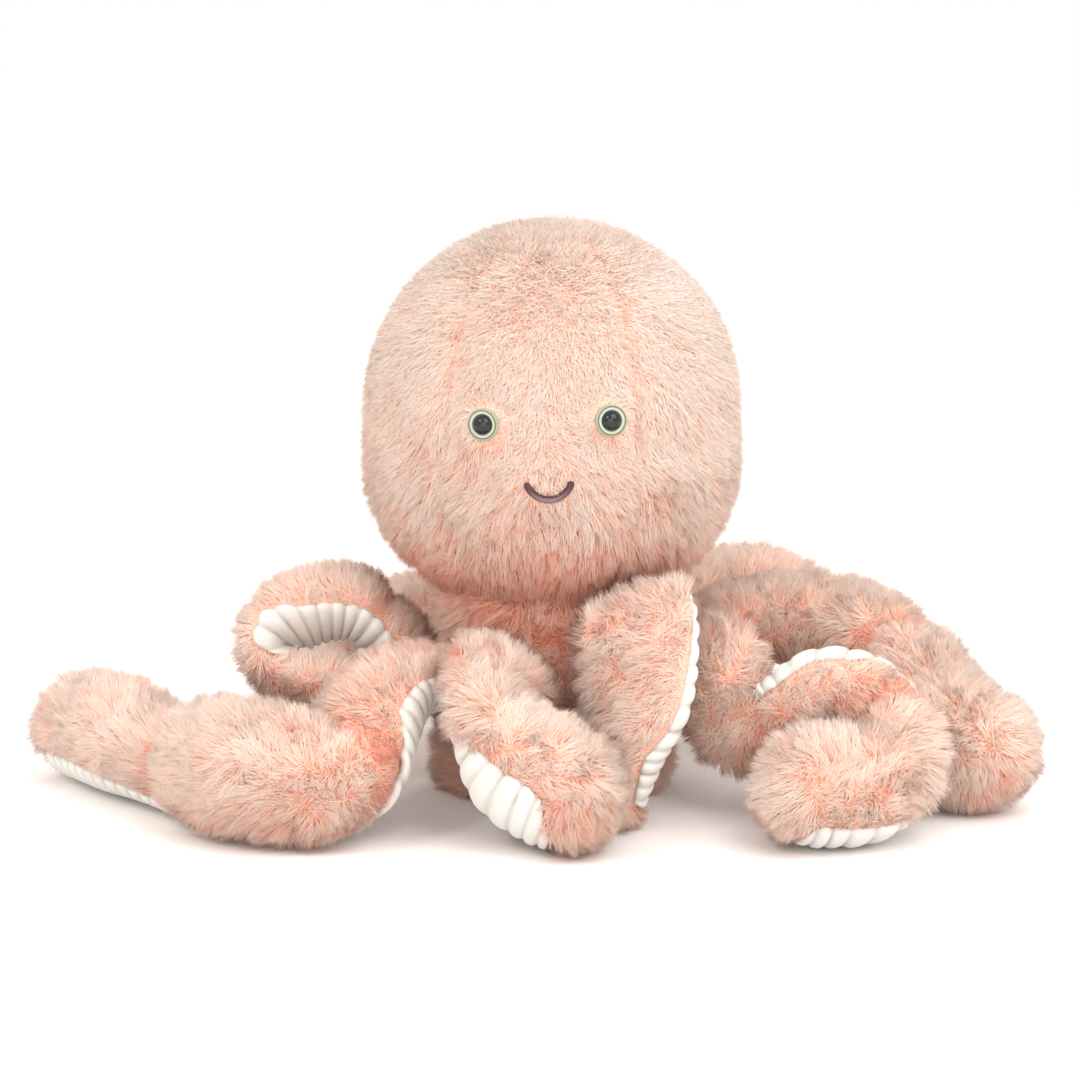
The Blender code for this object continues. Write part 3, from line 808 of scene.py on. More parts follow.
@dataclass
class Pile:
    """Plush fibres, drawn as tapering three-sided spikes that lean over and draw into tufts.

    Attributes:
        tuft_choices: how many tufts near it a fibre chooses from.
        tone_scale: the waves of tone for each metre.
        fibre_tone_scatter: how far a fibre's tone strays from its tuft's.
        map_margin: how far the fibres' map stays inside its square.
        blush_and_shade_depth: how far a full blush, painted shade included, lowers the tone.
        pale_root: how much paler the roots of the palest fibres are.
        least_pull: the weakest pull of a tuft on a fibre's tip, as a share of the full one.
        root_depth_share: how deep a fibre starts in the backing, as a share of its width.
        cloth_shade: how much of the cloth's own direction a fibre takes in its shading.
        spike_weld: how near the points at a spike's tip are merged, as a share of its height.
    """

    layers: tuple[Layer, ...] = (
        Layer(1.77e6, 0.47 * MM, 1.0, 0.45, 1.0),
        Layer(1.77e6, 0.47 * MM, 0.72, 0.80, 0.35),
    )
    tuft_size: float = 3.6 * MM
    tuft_scatter: float = 0.85
    tuft_choices: int = 5
    floor: float = 0.3 * MM
    tone_scale: float = 55.0
    tone_swing: float = 0.18
    tuft_tone_scatter: float = 0.08
    fibre_tone_scatter: float = 0.10
    map_margin: float = 0.02
    middle_tone: float = 0.70
    blush_and_shade_depth: float = 0.50
    pale_root: float = 0.50
    least_pull: float = 0.6
    root_depth_share: float = 0.5
    least_width: float = 0.75
    most_width: float = 1.2
    cloth_shade: float = 0.7
    spike_weld: float = 0.01

    def spike(self) -> tuple[np.ndarray, list[tuple[int, ...]]]:
        """Model one upright fibre of unit height and unit width.

        Returns:
            Its points, and its faces as point numbers.
        """
        work = bmesh.new()
        bmesh.ops.create_cone(work, cap_ends=False, segments=3, radius1=0.5, radius2=0.0, depth=1.0)
        bmesh.ops.translate(work, verts=work.verts, vec=(0, 0, 0.5))
        bmesh.ops.remove_doubles(work, verts=work.verts, dist=self.spike_weld)
        work.verts.index_update()
        points = np.array([vertex.co[:] for vertex in work.verts])
        faces = [tuple(vertex.index for vertex in face.verts) for face in work.faces]
        work.free()
        return points, faces

    def tufts_on(self, cloth: Cloth, seed: int, draw: np.random.Generator) -> Tufts:
        """Strew the tufts of one piece.

        Args:
            cloth: the surface that they stand on.
            seed: the seed of the waves of tone.
            draw: the source of random numbers.

        Returns:
            The tufts.
        """
        places = Roots.sow(cloth, 1 / self.tuft_size**2, draw)
        roots = places.at(cloth.points)
        tips = places.tips(roots, self.tuft_scatter, 1.0, draw)
        # A tuft's tone is lowered where the cloth paints shade, in creases, on undersides and the like
        tones = (
            self.middle_tone - places.at(cloth.blush) * self.blush_and_shade_depth
            + waves(roots, self.tone_scale, seed) * self.tone_swing
            + draw.normal(0, self.tuft_tone_scatter, len(roots))
        )
        tree = tree_of(roots)
        middles = cloth.points[cloth.faces].mean(axis=1)
        near = [[index for _, index, _ in tree.find_n(middle, self.tuft_choices)] for middle in middles]
        return Tufts(roots, tips, tones, np.array(near))

    def grow(self, name: str, cloth: Cloth, seed: int, density_share: float = 1.0) -> bpy.types.Mesh:
        """Grow the pile of one piece.

        Args:
            name: the mesh's name.
            cloth: the surface that it grows on.
            seed: the number that the random draws start from.
            density_share: how thick the pile stands, as a share of the usual.

        Returns:
            The mesh of all its fibres.
        """
        draw = np.random.default_rng(seed)
        tufts = self.tufts_on(cloth, seed, draw)
        woven = []
        for layer in self.layers:
            roots = Roots.sow(cloth, layer.density * density_share, draw)
            places = roots.at(cloth.points)
            tips = roots.tips(places, layer.scatter, layer.length_share, draw)
            count = len(places)
            choices = tufts.near[roots.chosen]
            gaps = np.linalg.norm(tufts.roots[choices] - places[:, None], axis=2)
            owner = choices[np.arange(count), gaps.argmin(axis=1)]
            pull = (roots.at(cloth.clump) * draw.uniform(self.least_pull, 1.0, count))[:, None]
            tips += (tufts.tips[owner] - tips) * pull * layer.gather
            low = tips[:, 2] < self.floor
            tips[low, 2] = self.floor * (1 + draw.random(int(low.sum())))
            tone = self.on_map(tufts.tones[owner] + draw.normal(0, self.fibre_tone_scatter, count))
            normals = unit(roots.at(cloth.normals))
            base = places - normals * layer.width * self.root_depth_share
            woven.append(self.weave(layer, (base, tips), normals, tone, draw))
        return self.joined(name, woven)

    def on_map(self, values: np.ndarray) -> np.ndarray:
        """Return values kept inside the fibres' map."""
        return np.clip(values, self.map_margin, 1 - self.map_margin)

    def weave(self, layer: Layer, lines: tuple[np.ndarray, np.ndarray], normals: np.ndarray,
              tone: np.ndarray, draw: np.random.Generator) -> Woven:
        """Repeat the spike along every fibre of a layer.

        Args:
            layer: the layer.
            lines: the fibres' roots and tips.
            normals: the cloth's outward direction at each root.
            tone: each fibre's tone, from 0 to 1.
            draw: the source of random numbers.

        Returns:
            The woven layer.
        """
        points, faces = self.spike()
        roots, tips = lines
        count = len(roots)
        ahead = unit(tips - roots)
        across = square_to(draw.normal(0, 1, (count, 3)), ahead)
        beside = np.cross(ahead, across)
        widths = layer.width * draw.uniform(self.least_width, self.most_width, (count, 1))
        put, shaded = [], []
        for x, y, z in points:
            round_way = x * across + y * beside
            put.append(lines[round(float(z))] + widths * round_way)
            shaded.append(unit(normals * self.cloth_shade + unit(round_way) * (z < 1)))
        corners = np.array([corner for face in faces for corner in face])
        sizes = np.array([len(face) for face in faces])
        shift = np.repeat(np.arange(count) * len(points), len(corners))
        tones = np.repeat(tone, len(corners))
        # Roots take the ramp's deep end, painted shade inside the pile, less deep under pale fibres
        rise = np.tile(points[corners, 2], count)
        heights = self.on_map(rise + (1 - rise) * tones * self.pale_root)
        return Woven(
            np.stack(put, axis=1).reshape(-1, 3), np.stack(shaded, axis=1).reshape(-1, 3),
            np.tile(corners, count) + shift, np.tile(sizes, count), np.stack([tones, heights], axis=1),
        )

    def joined(self, name: str, woven: list[Woven]) -> bpy.types.Mesh:
        """Join woven layers into one mesh.

        Args:
            name: the mesh's name.
            woven: the layers.

        Returns:
            The mesh, with its fibres' own shading directions and map.
        """
        starts = np.cumsum([0] + [len(part.points) for part in woven])
        points = np.concatenate([part.points for part in woven])
        corners = np.concatenate([part.corners + start for part, start in zip(woven, starts)])
        sizes = np.concatenate([part.sizes for part in woven])
        mesh = bpy.data.meshes.new(name)
        mesh.vertices.add(len(points))
        mesh.vertices.foreach_set("co", points.astype(np.float32).ravel())
        mesh.loops.add(len(corners))
        mesh.loops.foreach_set("vertex_index", corners.astype(np.int32))
        mesh.polygons.add(len(sizes))
        face_starts = np.concatenate([[0], np.cumsum(sizes)[:-1]])
        mesh.polygons.foreach_set("loop_start", face_starts.astype(np.int32))
        flat = mesh.uv_layers.new(name=FLAT_UV)
        spots = np.concatenate([part.spots for part in woven])
        flat.data.foreach_set("uv", spots.astype(np.float32).ravel())
        mesh.update(calc_edges=True)
        mesh.shade_smooth()
        mesh.normals_split_custom_set_from_vertices(np.concatenate([part.normals for part in woven]))
        return mesh


@dataclass
class HeadForm:
    """The gored ball of the head, as the frame has it, and where the face sits on it.

    Attributes:
        furrow_turn_share: how far the seams are turned from the middle, as a share of a half gore.
        top_fullness: how far the upper half departs from a sphere; below 1 is squarer.
        low_fullness: the same for the lower half.
        face_turn: how far the face looks aside.
        face_tilt: how far the face leans to one side.
    """

    radius: float = 72.2 * MM
    bottom: float = 71.2 * MM
    gores: int = 6
    furrow: float = 1.3 * MM
    furrow_turn_share: float = -0.14
    top_fullness: float = 0.94
    low_fullness: float = 0.80
    face_turn: float = math.radians(-1.6)
    face_tilt: float = math.radians(-2.0)
    slope_step: float = math.radians(1.0)

    @property
    def middle(self) -> float:
        """The height of the ball's middle."""
        return self.bottom + self.radius

    @property
    def centre(self) -> np.ndarray:
        """The ball's middle."""
        return np.array([0.0, 0.0, self.middle])

    @property
    def seam_angle(self) -> float:
        """The direction of the first seam about the vertical axis."""
        return -math.pi / 2 + math.pi / self.gores * (1 + self.furrow_turn_share)

    def outline(self, down: np.ndarray, growth: float = 0.0) -> tuple[np.ndarray, np.ndarray]:
        """Measure the plain ball.

        Args:
            down: angles from its top.
            growth: how much larger its radius is taken.

        Returns:
            The radii and heights at these angles.
        """
        full = np.where(down > math.pi / 2, self.low_fullness, self.top_fullness)
        rise = np.sign(np.cos(down)) * np.abs(np.cos(down)) ** full
        reach = np.maximum(np.sin(down), 0.0) ** full
        return (self.radius + growth) * reach, self.middle + (self.radius + growth) * rise

    def seam_closeness(self, turn: np.ndarray) -> np.ndarray:
        """Return 1 on a seam and 0 in the middle of a gore, for directions about the axis."""
        return 1.0 - np.abs(np.sin((turn - self.seam_angle) * self.gores / 2))

    def front_point(self, sideways: float, height: float) -> tuple[Vector, Vector]:
        """Find a point on the front of the plain head, untilted.

        Args:
            sideways: its place along X.
            height: its place along Z.

        Returns:
            The point and the outward direction there.
        """
        full = self.low_fullness if height < self.middle else self.top_fullness
        rise = (height - self.middle) / self.radius
        down = np.array(math.acos(math.copysign(abs(rise) ** (1 / full), rise)))
        radius, level = (float(value) for value in self.outline(down))
        further, lower = (float(value) for value in self.outline(down + self.slope_step))
        point = Vector((sideways, -math.sqrt(radius**2 - sideways**2), level))
        outward = Vector((point.x, point.y, 0)).normalized()
        slope = Vector((further - radius, lower - level))
        return point, (outward * -slope.y + Vector((0, 0, 1)) * slope.x).normalized()

    def face_place(self) -> Matrix:
        """Place the face on the head.

        Returns:
            The matrix that turns and tilts it.
        """
        centre = Vector((0, 0, self.middle))
        turn = Matrix.Rotation(self.face_turn, 4, "Z") @ Matrix.Rotation(self.face_tilt, 4, "Y")
        return Matrix.Translation(centre) @ turn @ Matrix.Translation(-centre)

    def seat(self, sideways: float, height: float) -> Matrix:
        """Place a piece on the face.

        Args:
            sideways: its place along X, before the face is turned.
            height: its place along Z, likewise.

        Returns:
            The matrix that puts its origin on the head and its Z axis outwards.
        """
        point, normal = self.front_point(sideways, height)
        turned = self.face_place() @ Matrix.Translation(point)
        return turned @ normal.to_track_quat("Z", "Y").to_matrix().to_4x4()


@dataclass
class Eye:
    """A glossy button on a felt ring.

    Attributes:
        word: left or right, as seen by who looks at the face.
        side: -1 for the left one and 1 for the right one.
        head: the head that carries it.
        ring_edge: how far under its top the ring's inner edge starts to round.
        ring_crown: how far the ring swells between its edges.
    """

    word: str
    side: int
    head: HeadForm
    spacing: float = 45.5 * MM
    height: float = 148.5 * MM
    button_radius: float = 3.7 * MM
    dome_height: float = 3.0 * MM
    ring_radius: float = 5.8 * MM
    ring_thickness: float = 1.4 * MM
    ring_play: float = 0.05 * MM
    ring_edge: float = 0.3 * MM
    ring_crown: float = 0.25 * MM
    seat_depth: float = 0.5 * MM
    steps: int = 56
    ring_steps: int = 12
    dome_steps: int = 14

    @property
    def place(self) -> Matrix:
        """The eye's place on the head."""
        return self.head.seat(self.side * self.spacing / 2, self.height)

    @property
    def middle(self) -> np.ndarray:
        """The middle of the eye, on the head."""
        return np.array(self.place.translation)

    def away(self, points: np.ndarray) -> np.ndarray:
        """Return how far points are from the eye's middle."""
        return np.linalg.norm(points - self.middle, axis=1)

    def build(self, finishes: Finishes) -> None:
        """Build the ring and the button.

        Args:
            finishes: the toy's materials.
        """
        base, top = -self.seat_depth, self.ring_thickness - self.seat_depth
        inner = self.button_radius + self.ring_play
        ring = [(inner, base, 0.0), (inner, top - self.ring_edge, 0.0)]
        for share in np.linspace(0.0, 1.0, self.ring_steps):
            crown = top + self.ring_crown * math.sin(math.pi * share)
            ring.append((inner + (self.ring_radius - inner) * share, crown, share))
        ring += [(self.ring_radius, base, 1.0), (inner, base, 0.0)]
        mesh = turned_mesh(f"eye_ring_{self.word}", ring, self.steps, self.place)
        piece_of(f"felt_ring_{self.word}", mesh, finishes.felt, Body.HEAD.value,
                 (f"eye_ring_{self.word}",))

        dome = [(0.0, base, 0.0), (self.button_radius, base, 0.0)]
        for share in np.linspace(0.0, 1.0, self.dome_steps):
            turn = share * math.pi / 2
            reach = self.button_radius * math.cos(turn) if share < 1 else 0.0
            dome.append((reach, top + self.dome_height * math.sin(turn), 0.0))
        mesh = turned_mesh(f"button_{self.word}", dome, self.steps, self.place)
        piece_of(f"button_{self.word}", mesh, finishes.button, Body.HEAD.value,
                 (f"eye_button_{self.word}",))


@dataclass
class Smile:
    """One curved line of satin stitch.

    Attributes:
        drop: how far its arc reaches under its height.
        stand: how far its middle line stands off the head.
        slant: how far a stitch slants across the line, as a share of its width.
        stitch_power: how round a stitch is; a low power is blunt.
        groove: how deep the line dips between stitches, as a share of its radius.
    """

    head: HeadForm
    width: float = 16.8 * MM
    drop: float = 8.8 * MM
    height: float = 130.0 * MM
    half_turn: float = math.radians(75.0)
    radius: float = 1.35 * MM
    stand: float = 0.7 * MM
    stitch: float = 0.55 * MM
    slant: float = 0.35
    stitch_power: float = 0.7
    groove: float = 0.14
    points: int = 220
    around: int = 16

    def line(self, count: int) -> np.ndarray:
        """Follow the smile on the head's surface.

        Args:
            count: the number of points.

        Returns:
            Rows of points.
        """
        turned = self.head.face_place()
        found = []
        for turn in np.linspace(-self.half_turn, self.half_turn, count):
            spot, normal = self.head.front_point(
                math.sin(turn) * self.width / 2, self.height - self.drop * math.cos(turn)
            )
            found.append(turned @ (spot + normal * self.stand))
        return np.array(found)

    def away(self, points: np.ndarray, count: int) -> np.ndarray:
        """Return how far points are from the nearest of a number of points along the smile."""
        return np.linalg.norm(points[:, None] - self.line(count)[None], axis=2).min(axis=1)

    def build(self, finishes: Finishes) -> None:
        """Build the stitched line as a ridged tube with round ends.

        Args:
            finishes: the toy's materials.
        """
        line = self.line(self.points)
        gaps = np.linalg.norm(np.diff(line, axis=0), axis=1)
        run = np.concatenate([[0.0], np.cumsum(gaps)])
        ahead = unit(np.gradient(line, axis=0))
        centre = self.head.centre
        out = square_to(line - centre, ahead)
        beside = np.cross(ahead, out)

        def place(down: np.ndarray, turn: np.ndarray) -> np.ndarray:
            """Map the ball onto the tube.

            Args:
                down: angles from the ball's top, which go along the tube.
                turn: angles around it.

            Returns:
                Rows of points.
            """
            along = down / math.pi * run[-1]
            end = np.minimum(along, run[-1] - along)
            ridge = ribs((along + self.slant * self.stitch * np.cos(turn)) / self.stitch, self.stitch_power)
            size = self.radius * round_end(1 - np.minimum(end / self.radius, 1.0))
            size = size * (1 - self.groove + self.groove * ridge)
            spots, outs, sides = (
                np.stack([np.interp(along, run, column) for column in values.T], axis=1)
                for values in (line, out, beside)
            )
            return spots + (outs * np.cos(turn)[:, None] + sides * np.sin(turn)[:, None]) * size[:, None]

        mesh = ball_mesh("smile_stitches", self.around, self.points, place)
        points = points_of(mesh)
        # The ridge is 1 on the tube's outermost points, where the thread paints its highlight
        depth = np.sum((points - centre) * unit(points - centre), axis=1)
        low, high = depth.min(), depth.max()
        ridge = mesh.attributes.new(RIDGE, "FLOAT", "POINT")
        ridge.data.foreach_set("value", ((depth - low) / (high - low)).astype(np.float32))
        piece_of("smile_stitches", mesh, finishes.thread, Body.HEAD.value, ("smile",))


@dataclass
class Head:
    """The stuffed head: gored backing, pile brushed down from the crown, and the face.

    A span gives where a smooth change starts and ends. Shares are of the head's radius:
    down from its middle for the chin and the painted shade, and out from its axis for the crown
    and the seams.

    Attributes:
        furrow_share: the backing's furrows, as a share of the frame's.
        swell: how far the stuffing swells, in waves of swell_scale for each metre.
        eye_rise: how far from a ring the backing sinks back, as smile_rise is by the smile.
        eye_part: how strongly it parts from the eyes, over eye_part_span.
        stray: how far the comb strays, more by chin_stray at the chin.
        eye_edge: how sharply the pile starts at a ring.
        smile_short: the share of its length that the pile has by the smile, as eye_short
            is by an eye, over their spans.
        lean: how far the pile lies over, in degrees, less chin_rise and crown_rise there.
        clump: how strongly the tips draw together, more by chin_clump at the chin.
        blush: the reddening all over, and then the painted shade of the cheeks, chin, left side and seams.
    """

    form: HeadForm = field(default_factory=HeadForm)
    inset: float = 4.2 * MM
    around: int = 96
    rings: int = 60
    furrow_share: float = 1.6
    furrow_power: int = 4
    face_depth: float = 1.0 * MM
    swell: float = 0.8 * MM
    swell_scale: float = 22.0
    swell_seed: float = 3.0
    eye_rise: float = 6.0 * MM
    smile_rise: Span = (4.0 * MM, 9.0 * MM)
    smile_rise_points: int = 24
    nose_height: float = 134.0 * MM
    nose_reach: float = 22.0 * MM
    nose_part: float = 1.4
    eye_part: float = 2.5
    eye_part_span: Span = (6.0 * MM, 14.0 * MM)
    crown_comb: Way = (0.8, -1.6, 0.0)
    stray: float = 0.45
    chin_stray: float = 1.6
    stray_scale: float = 60.0
    stray_seeds: tuple[float, float, float] = (1.0, 2.0, 4.0)
    chin_span: Span = (-0.13, 0.42)
    crown_span: Span = (0.10, 0.65)
    seam_span: Span = (0.15, 0.50)
    seam_power: int = 10
    crown_length: float = 7.0 * MM
    chin_length: float = 9.5 * MM
    smile_edge: Span = (1.2 * MM, 2.2 * MM)
    eye_edge: float = 0.6 * MM
    smile_short: float = 0.35
    smile_span: Span = (2.0 * MM, 9.0 * MM)
    smile_pile_points: int = 40
    eye_short: float = 0.40
    eye_span: float = 9.0 * MM
    seam_short: float = 0.65
    lean: float = 50.0
    chin_rise: float = 18.0
    crown_rise: float = 16.0
    clump: float = 0.30
    chin_clump: float = 0.35
    blush: float = -0.15
    # Painted shade: redder, darker pile on the lower half and under the chin, on the left side away from
    # the key lamp, and in the seams' furrows
    cheek_shade: float = 0.40
    cheek_span: Span = (-0.3, 0.4)
    chin_shade: float = 1.5
    chin_shade_span: Span = (0.3, 1.0)
    side_shade: float = 0.15
    seam_shade: float = 0.7
    seam_shade_start: float = 0.2
    first_seed: int = 100

    def build(self, pile: Pile, finishes: Finishes) -> None:
        """Build the head and dress it.

        Args:
            pile: the plush.
            finishes: the toy's materials.
        """
        smile = Smile(self.form)
        eyes = [Eye("left", -1, self.form), Eye("right", 1, self.form)]
        for part in (*eyes, smile):
            part.build(finishes)
        mesh = self.backing(eyes, smile)
        backing = piece_of("head_backing", mesh, finishes.backing, Body.HEAD.value, ("head",))
        self.grow(pile, self.cloth(mesh, eyes, smile), finishes)

    def backing(self, eyes: list[Eye], smile: Smile) -> bpy.types.Mesh:
        """Model the stuffed backing, raised to carry the eyes and the smile.

        Args:
            eyes: the eyes.
            smile: the smile.

        Returns:
            The mesh.
        """
        form = self.form

        def place(down: np.ndarray, turn: np.ndarray) -> np.ndarray:
            """Map the ball onto the head.

            Args:
                down: angles from the top.
                turn: angles about the axis.

            Returns:
                Rows of points.
            """
            radius, level = form.outline(down, -self.inset)
            closeness = form.seam_closeness(turn) ** self.furrow_power
            radius = radius - self.furrow_share * form.furrow * closeness * np.sin(down)
            points = np.stack([radius * np.cos(turn), radius * np.sin(turn), level], axis=1)
            outward = unit(points - form.centre)
            near = self.face_closeness(points, eyes, smile)
            points += outward * ((self.inset - self.face_depth) * near)[:, None]
            swell = waves(points, self.swell_scale, self.swell_seed) * self.swell * np.sin(down)
            return points + outward * (swell * (1 - near))[:, None]

        return ball_mesh("head_backing", self.around, self.rings, place)

    def face_closeness(self, points: np.ndarray, eyes: list[Eye], smile: Smile) -> np.ndarray:
        """Measure how near points are to the face.

        Args:
            points: rows of points.
            eyes: the eyes.
            smile: the smile.

        Returns:
            1 under an eye or the smile, and 0 away from them.
        """
        near = 1 - smooth_step(*self.smile_rise, smile.away(points, self.smile_rise_points))
        for eye in eyes:
            radius = eye.ring_radius
            near = np.maximum(near, 1 - smooth_step(radius, radius + self.eye_rise, eye.away(points)))
        return near

    def comb(self, points: np.ndarray, low: np.ndarray, crown: np.ndarray,
             eyes: list[Eye]) -> np.ndarray:
        """Brush the pile down from the crown, and away from the nose and the eyes.

        Args:
            points: the backing's points.
            low: how near each is to the chin, from 0 to 1.
            crown: how near each is to the crown.
            eyes: the eyes.

        Returns:
            The brushed direction at each point.
        """
        form = self.form
        nose = np.array(form.face_place() @ form.front_point(0.0, self.nose_height)[0])
        from_nose = np.linalg.norm(points - nose, axis=1)
        part = self.nose_part * np.exp(-((from_nose / self.nose_reach) ** 2))
        comb = square_to(np.array([[0.0, 0.0, -1.0]]), unit(points - form.centre))
        comb = comb + unit(points - nose) * part[:, None]
        stray = stray_ways(points, self.stray_scale, self.stray_seeds)
        comb += stray * (self.stray + self.chin_stray * low)[:, None]
        comb += np.array(self.crown_comb) * crown[:, None]
        for eye in eyes:
            part = self.eye_part * (1 - smooth_step(*self.eye_part_span, eye.away(points)))
            comb += unit(points - eye.middle) * part[:, None]
        return comb

    def cloth(self, mesh: bpy.types.Mesh, eyes: list[Eye], smile: Smile) -> Cloth:
        """Set how the pile grows on the backing.

        Args:
            mesh: the backing.
            eyes: the eyes.
            smile: the smile.

        Returns:
            The cloth.
        """
        form = self.form
        points = points_of(mesh)
        outward = unit(points - form.centre)
        off_axis = np.hypot(outward[:, 0], outward[:, 1])
        fall = (form.middle - points[:, 2]) / form.radius
        low = smooth_step(*self.chin_span, fall)
        crown = (1 - smooth_step(*self.crown_span, off_axis)) * (outward[:, 2] > 0)
        turn = np.arctan2(points[:, 1], points[:, 0])
        seam = form.seam_closeness(turn) ** self.seam_power * (1 - low)
        seam *= smooth_step(*self.seam_span, off_axis)

        to_smile = smile.away(points, self.smile_pile_points)
        cover = smooth_step(*self.smile_edge, to_smile)
        short = self.smile_short + (1 - self.smile_short) * smooth_step(*self.smile_span, to_smile)
        for eye in eyes:
            away, radius = eye.away(points), eye.ring_radius
            cover *= smooth_step(radius - self.eye_edge, radius + self.eye_edge, away)
            far = smooth_step(radius, radius + self.eye_span, away)
            short *= self.eye_short + (1 - self.eye_short) * far
        length = (self.crown_length + (self.chin_length - self.crown_length) * low) * short

        # Painted shade: darker towards the bottom of the head, on its left side and along the seams
        blush = self.cheek_shade * smooth_step(*self.cheek_span, fall)
        blush += self.chin_shade * smooth_step(*self.chin_shade_span, fall)
        blush += self.blush - self.side_shade * outward[:, 0] * (1 - low)
        return Cloth.on(
            mesh, self.comb(points, low, crown, eyes), length=length * (1 - self.seam_short * seam),
            cover=cover, lean=np.radians(self.lean - self.chin_rise * low - self.crown_rise * crown),
            clump=self.clump + self.chin_clump * low,
            blush=np.maximum(blush, self.seam_shade * seam - self.seam_shade_start),
        )

    def grow(self, pile: Pile, cloth: Cloth, finishes: Finishes) -> None:
        """Grow the pile gore by gore.

        Args:
            pile: the plush.
            cloth: how it grows.
            finishes: the toy's materials.
        """
        form = self.form
        middles = cloth.points[cloth.faces].mean(axis=1)
        turn = np.arctan2(middles[:, 1], middles[:, 0])
        gore = np.floor((turn - form.seam_angle) / (2 * math.pi / form.gores)).astype(int) % form.gores
        for number in range(form.gores):
            part = replace(cloth, faces=cloth.faces[gore == number])
            name = f"head_pile_{number + 1}"
            mesh = pile.grow(name, part, self.first_seed + number)
            piece_of(name, mesh, finishes.pile, Body.HEAD.value)


@dataclass
class SkirtForm:
    """The skirt-shaped body under the head, as the frame has it.

    Attributes:
        radius_shares: its radii from the floor up, as shares of the radius.
        height_shares: the heights of these, as shares of the height.
    """

    base_radius: float = 39.0 * MM
    base_thickness: float = 3.0 * MM
    radius: float = 44.0 * MM
    height: float = 70.4 * MM
    radius_shares: tuple[float, ...] = (1.00, 1.05, 1.04, 0.97, 0.92, 0.92, 0.92, 0.86)
    height_shares: tuple[float, ...] = (0.00, 0.10, 0.25, 0.45, 0.62, 0.82, 0.94, 1.00)

    def radius_at(self, level: np.ndarray) -> np.ndarray:
        """Return the skirt's radius at heights."""
        heights = np.array(self.height_shares) * self.height
        return np.interp(level, heights, np.array(self.radius_shares) * self.radius)


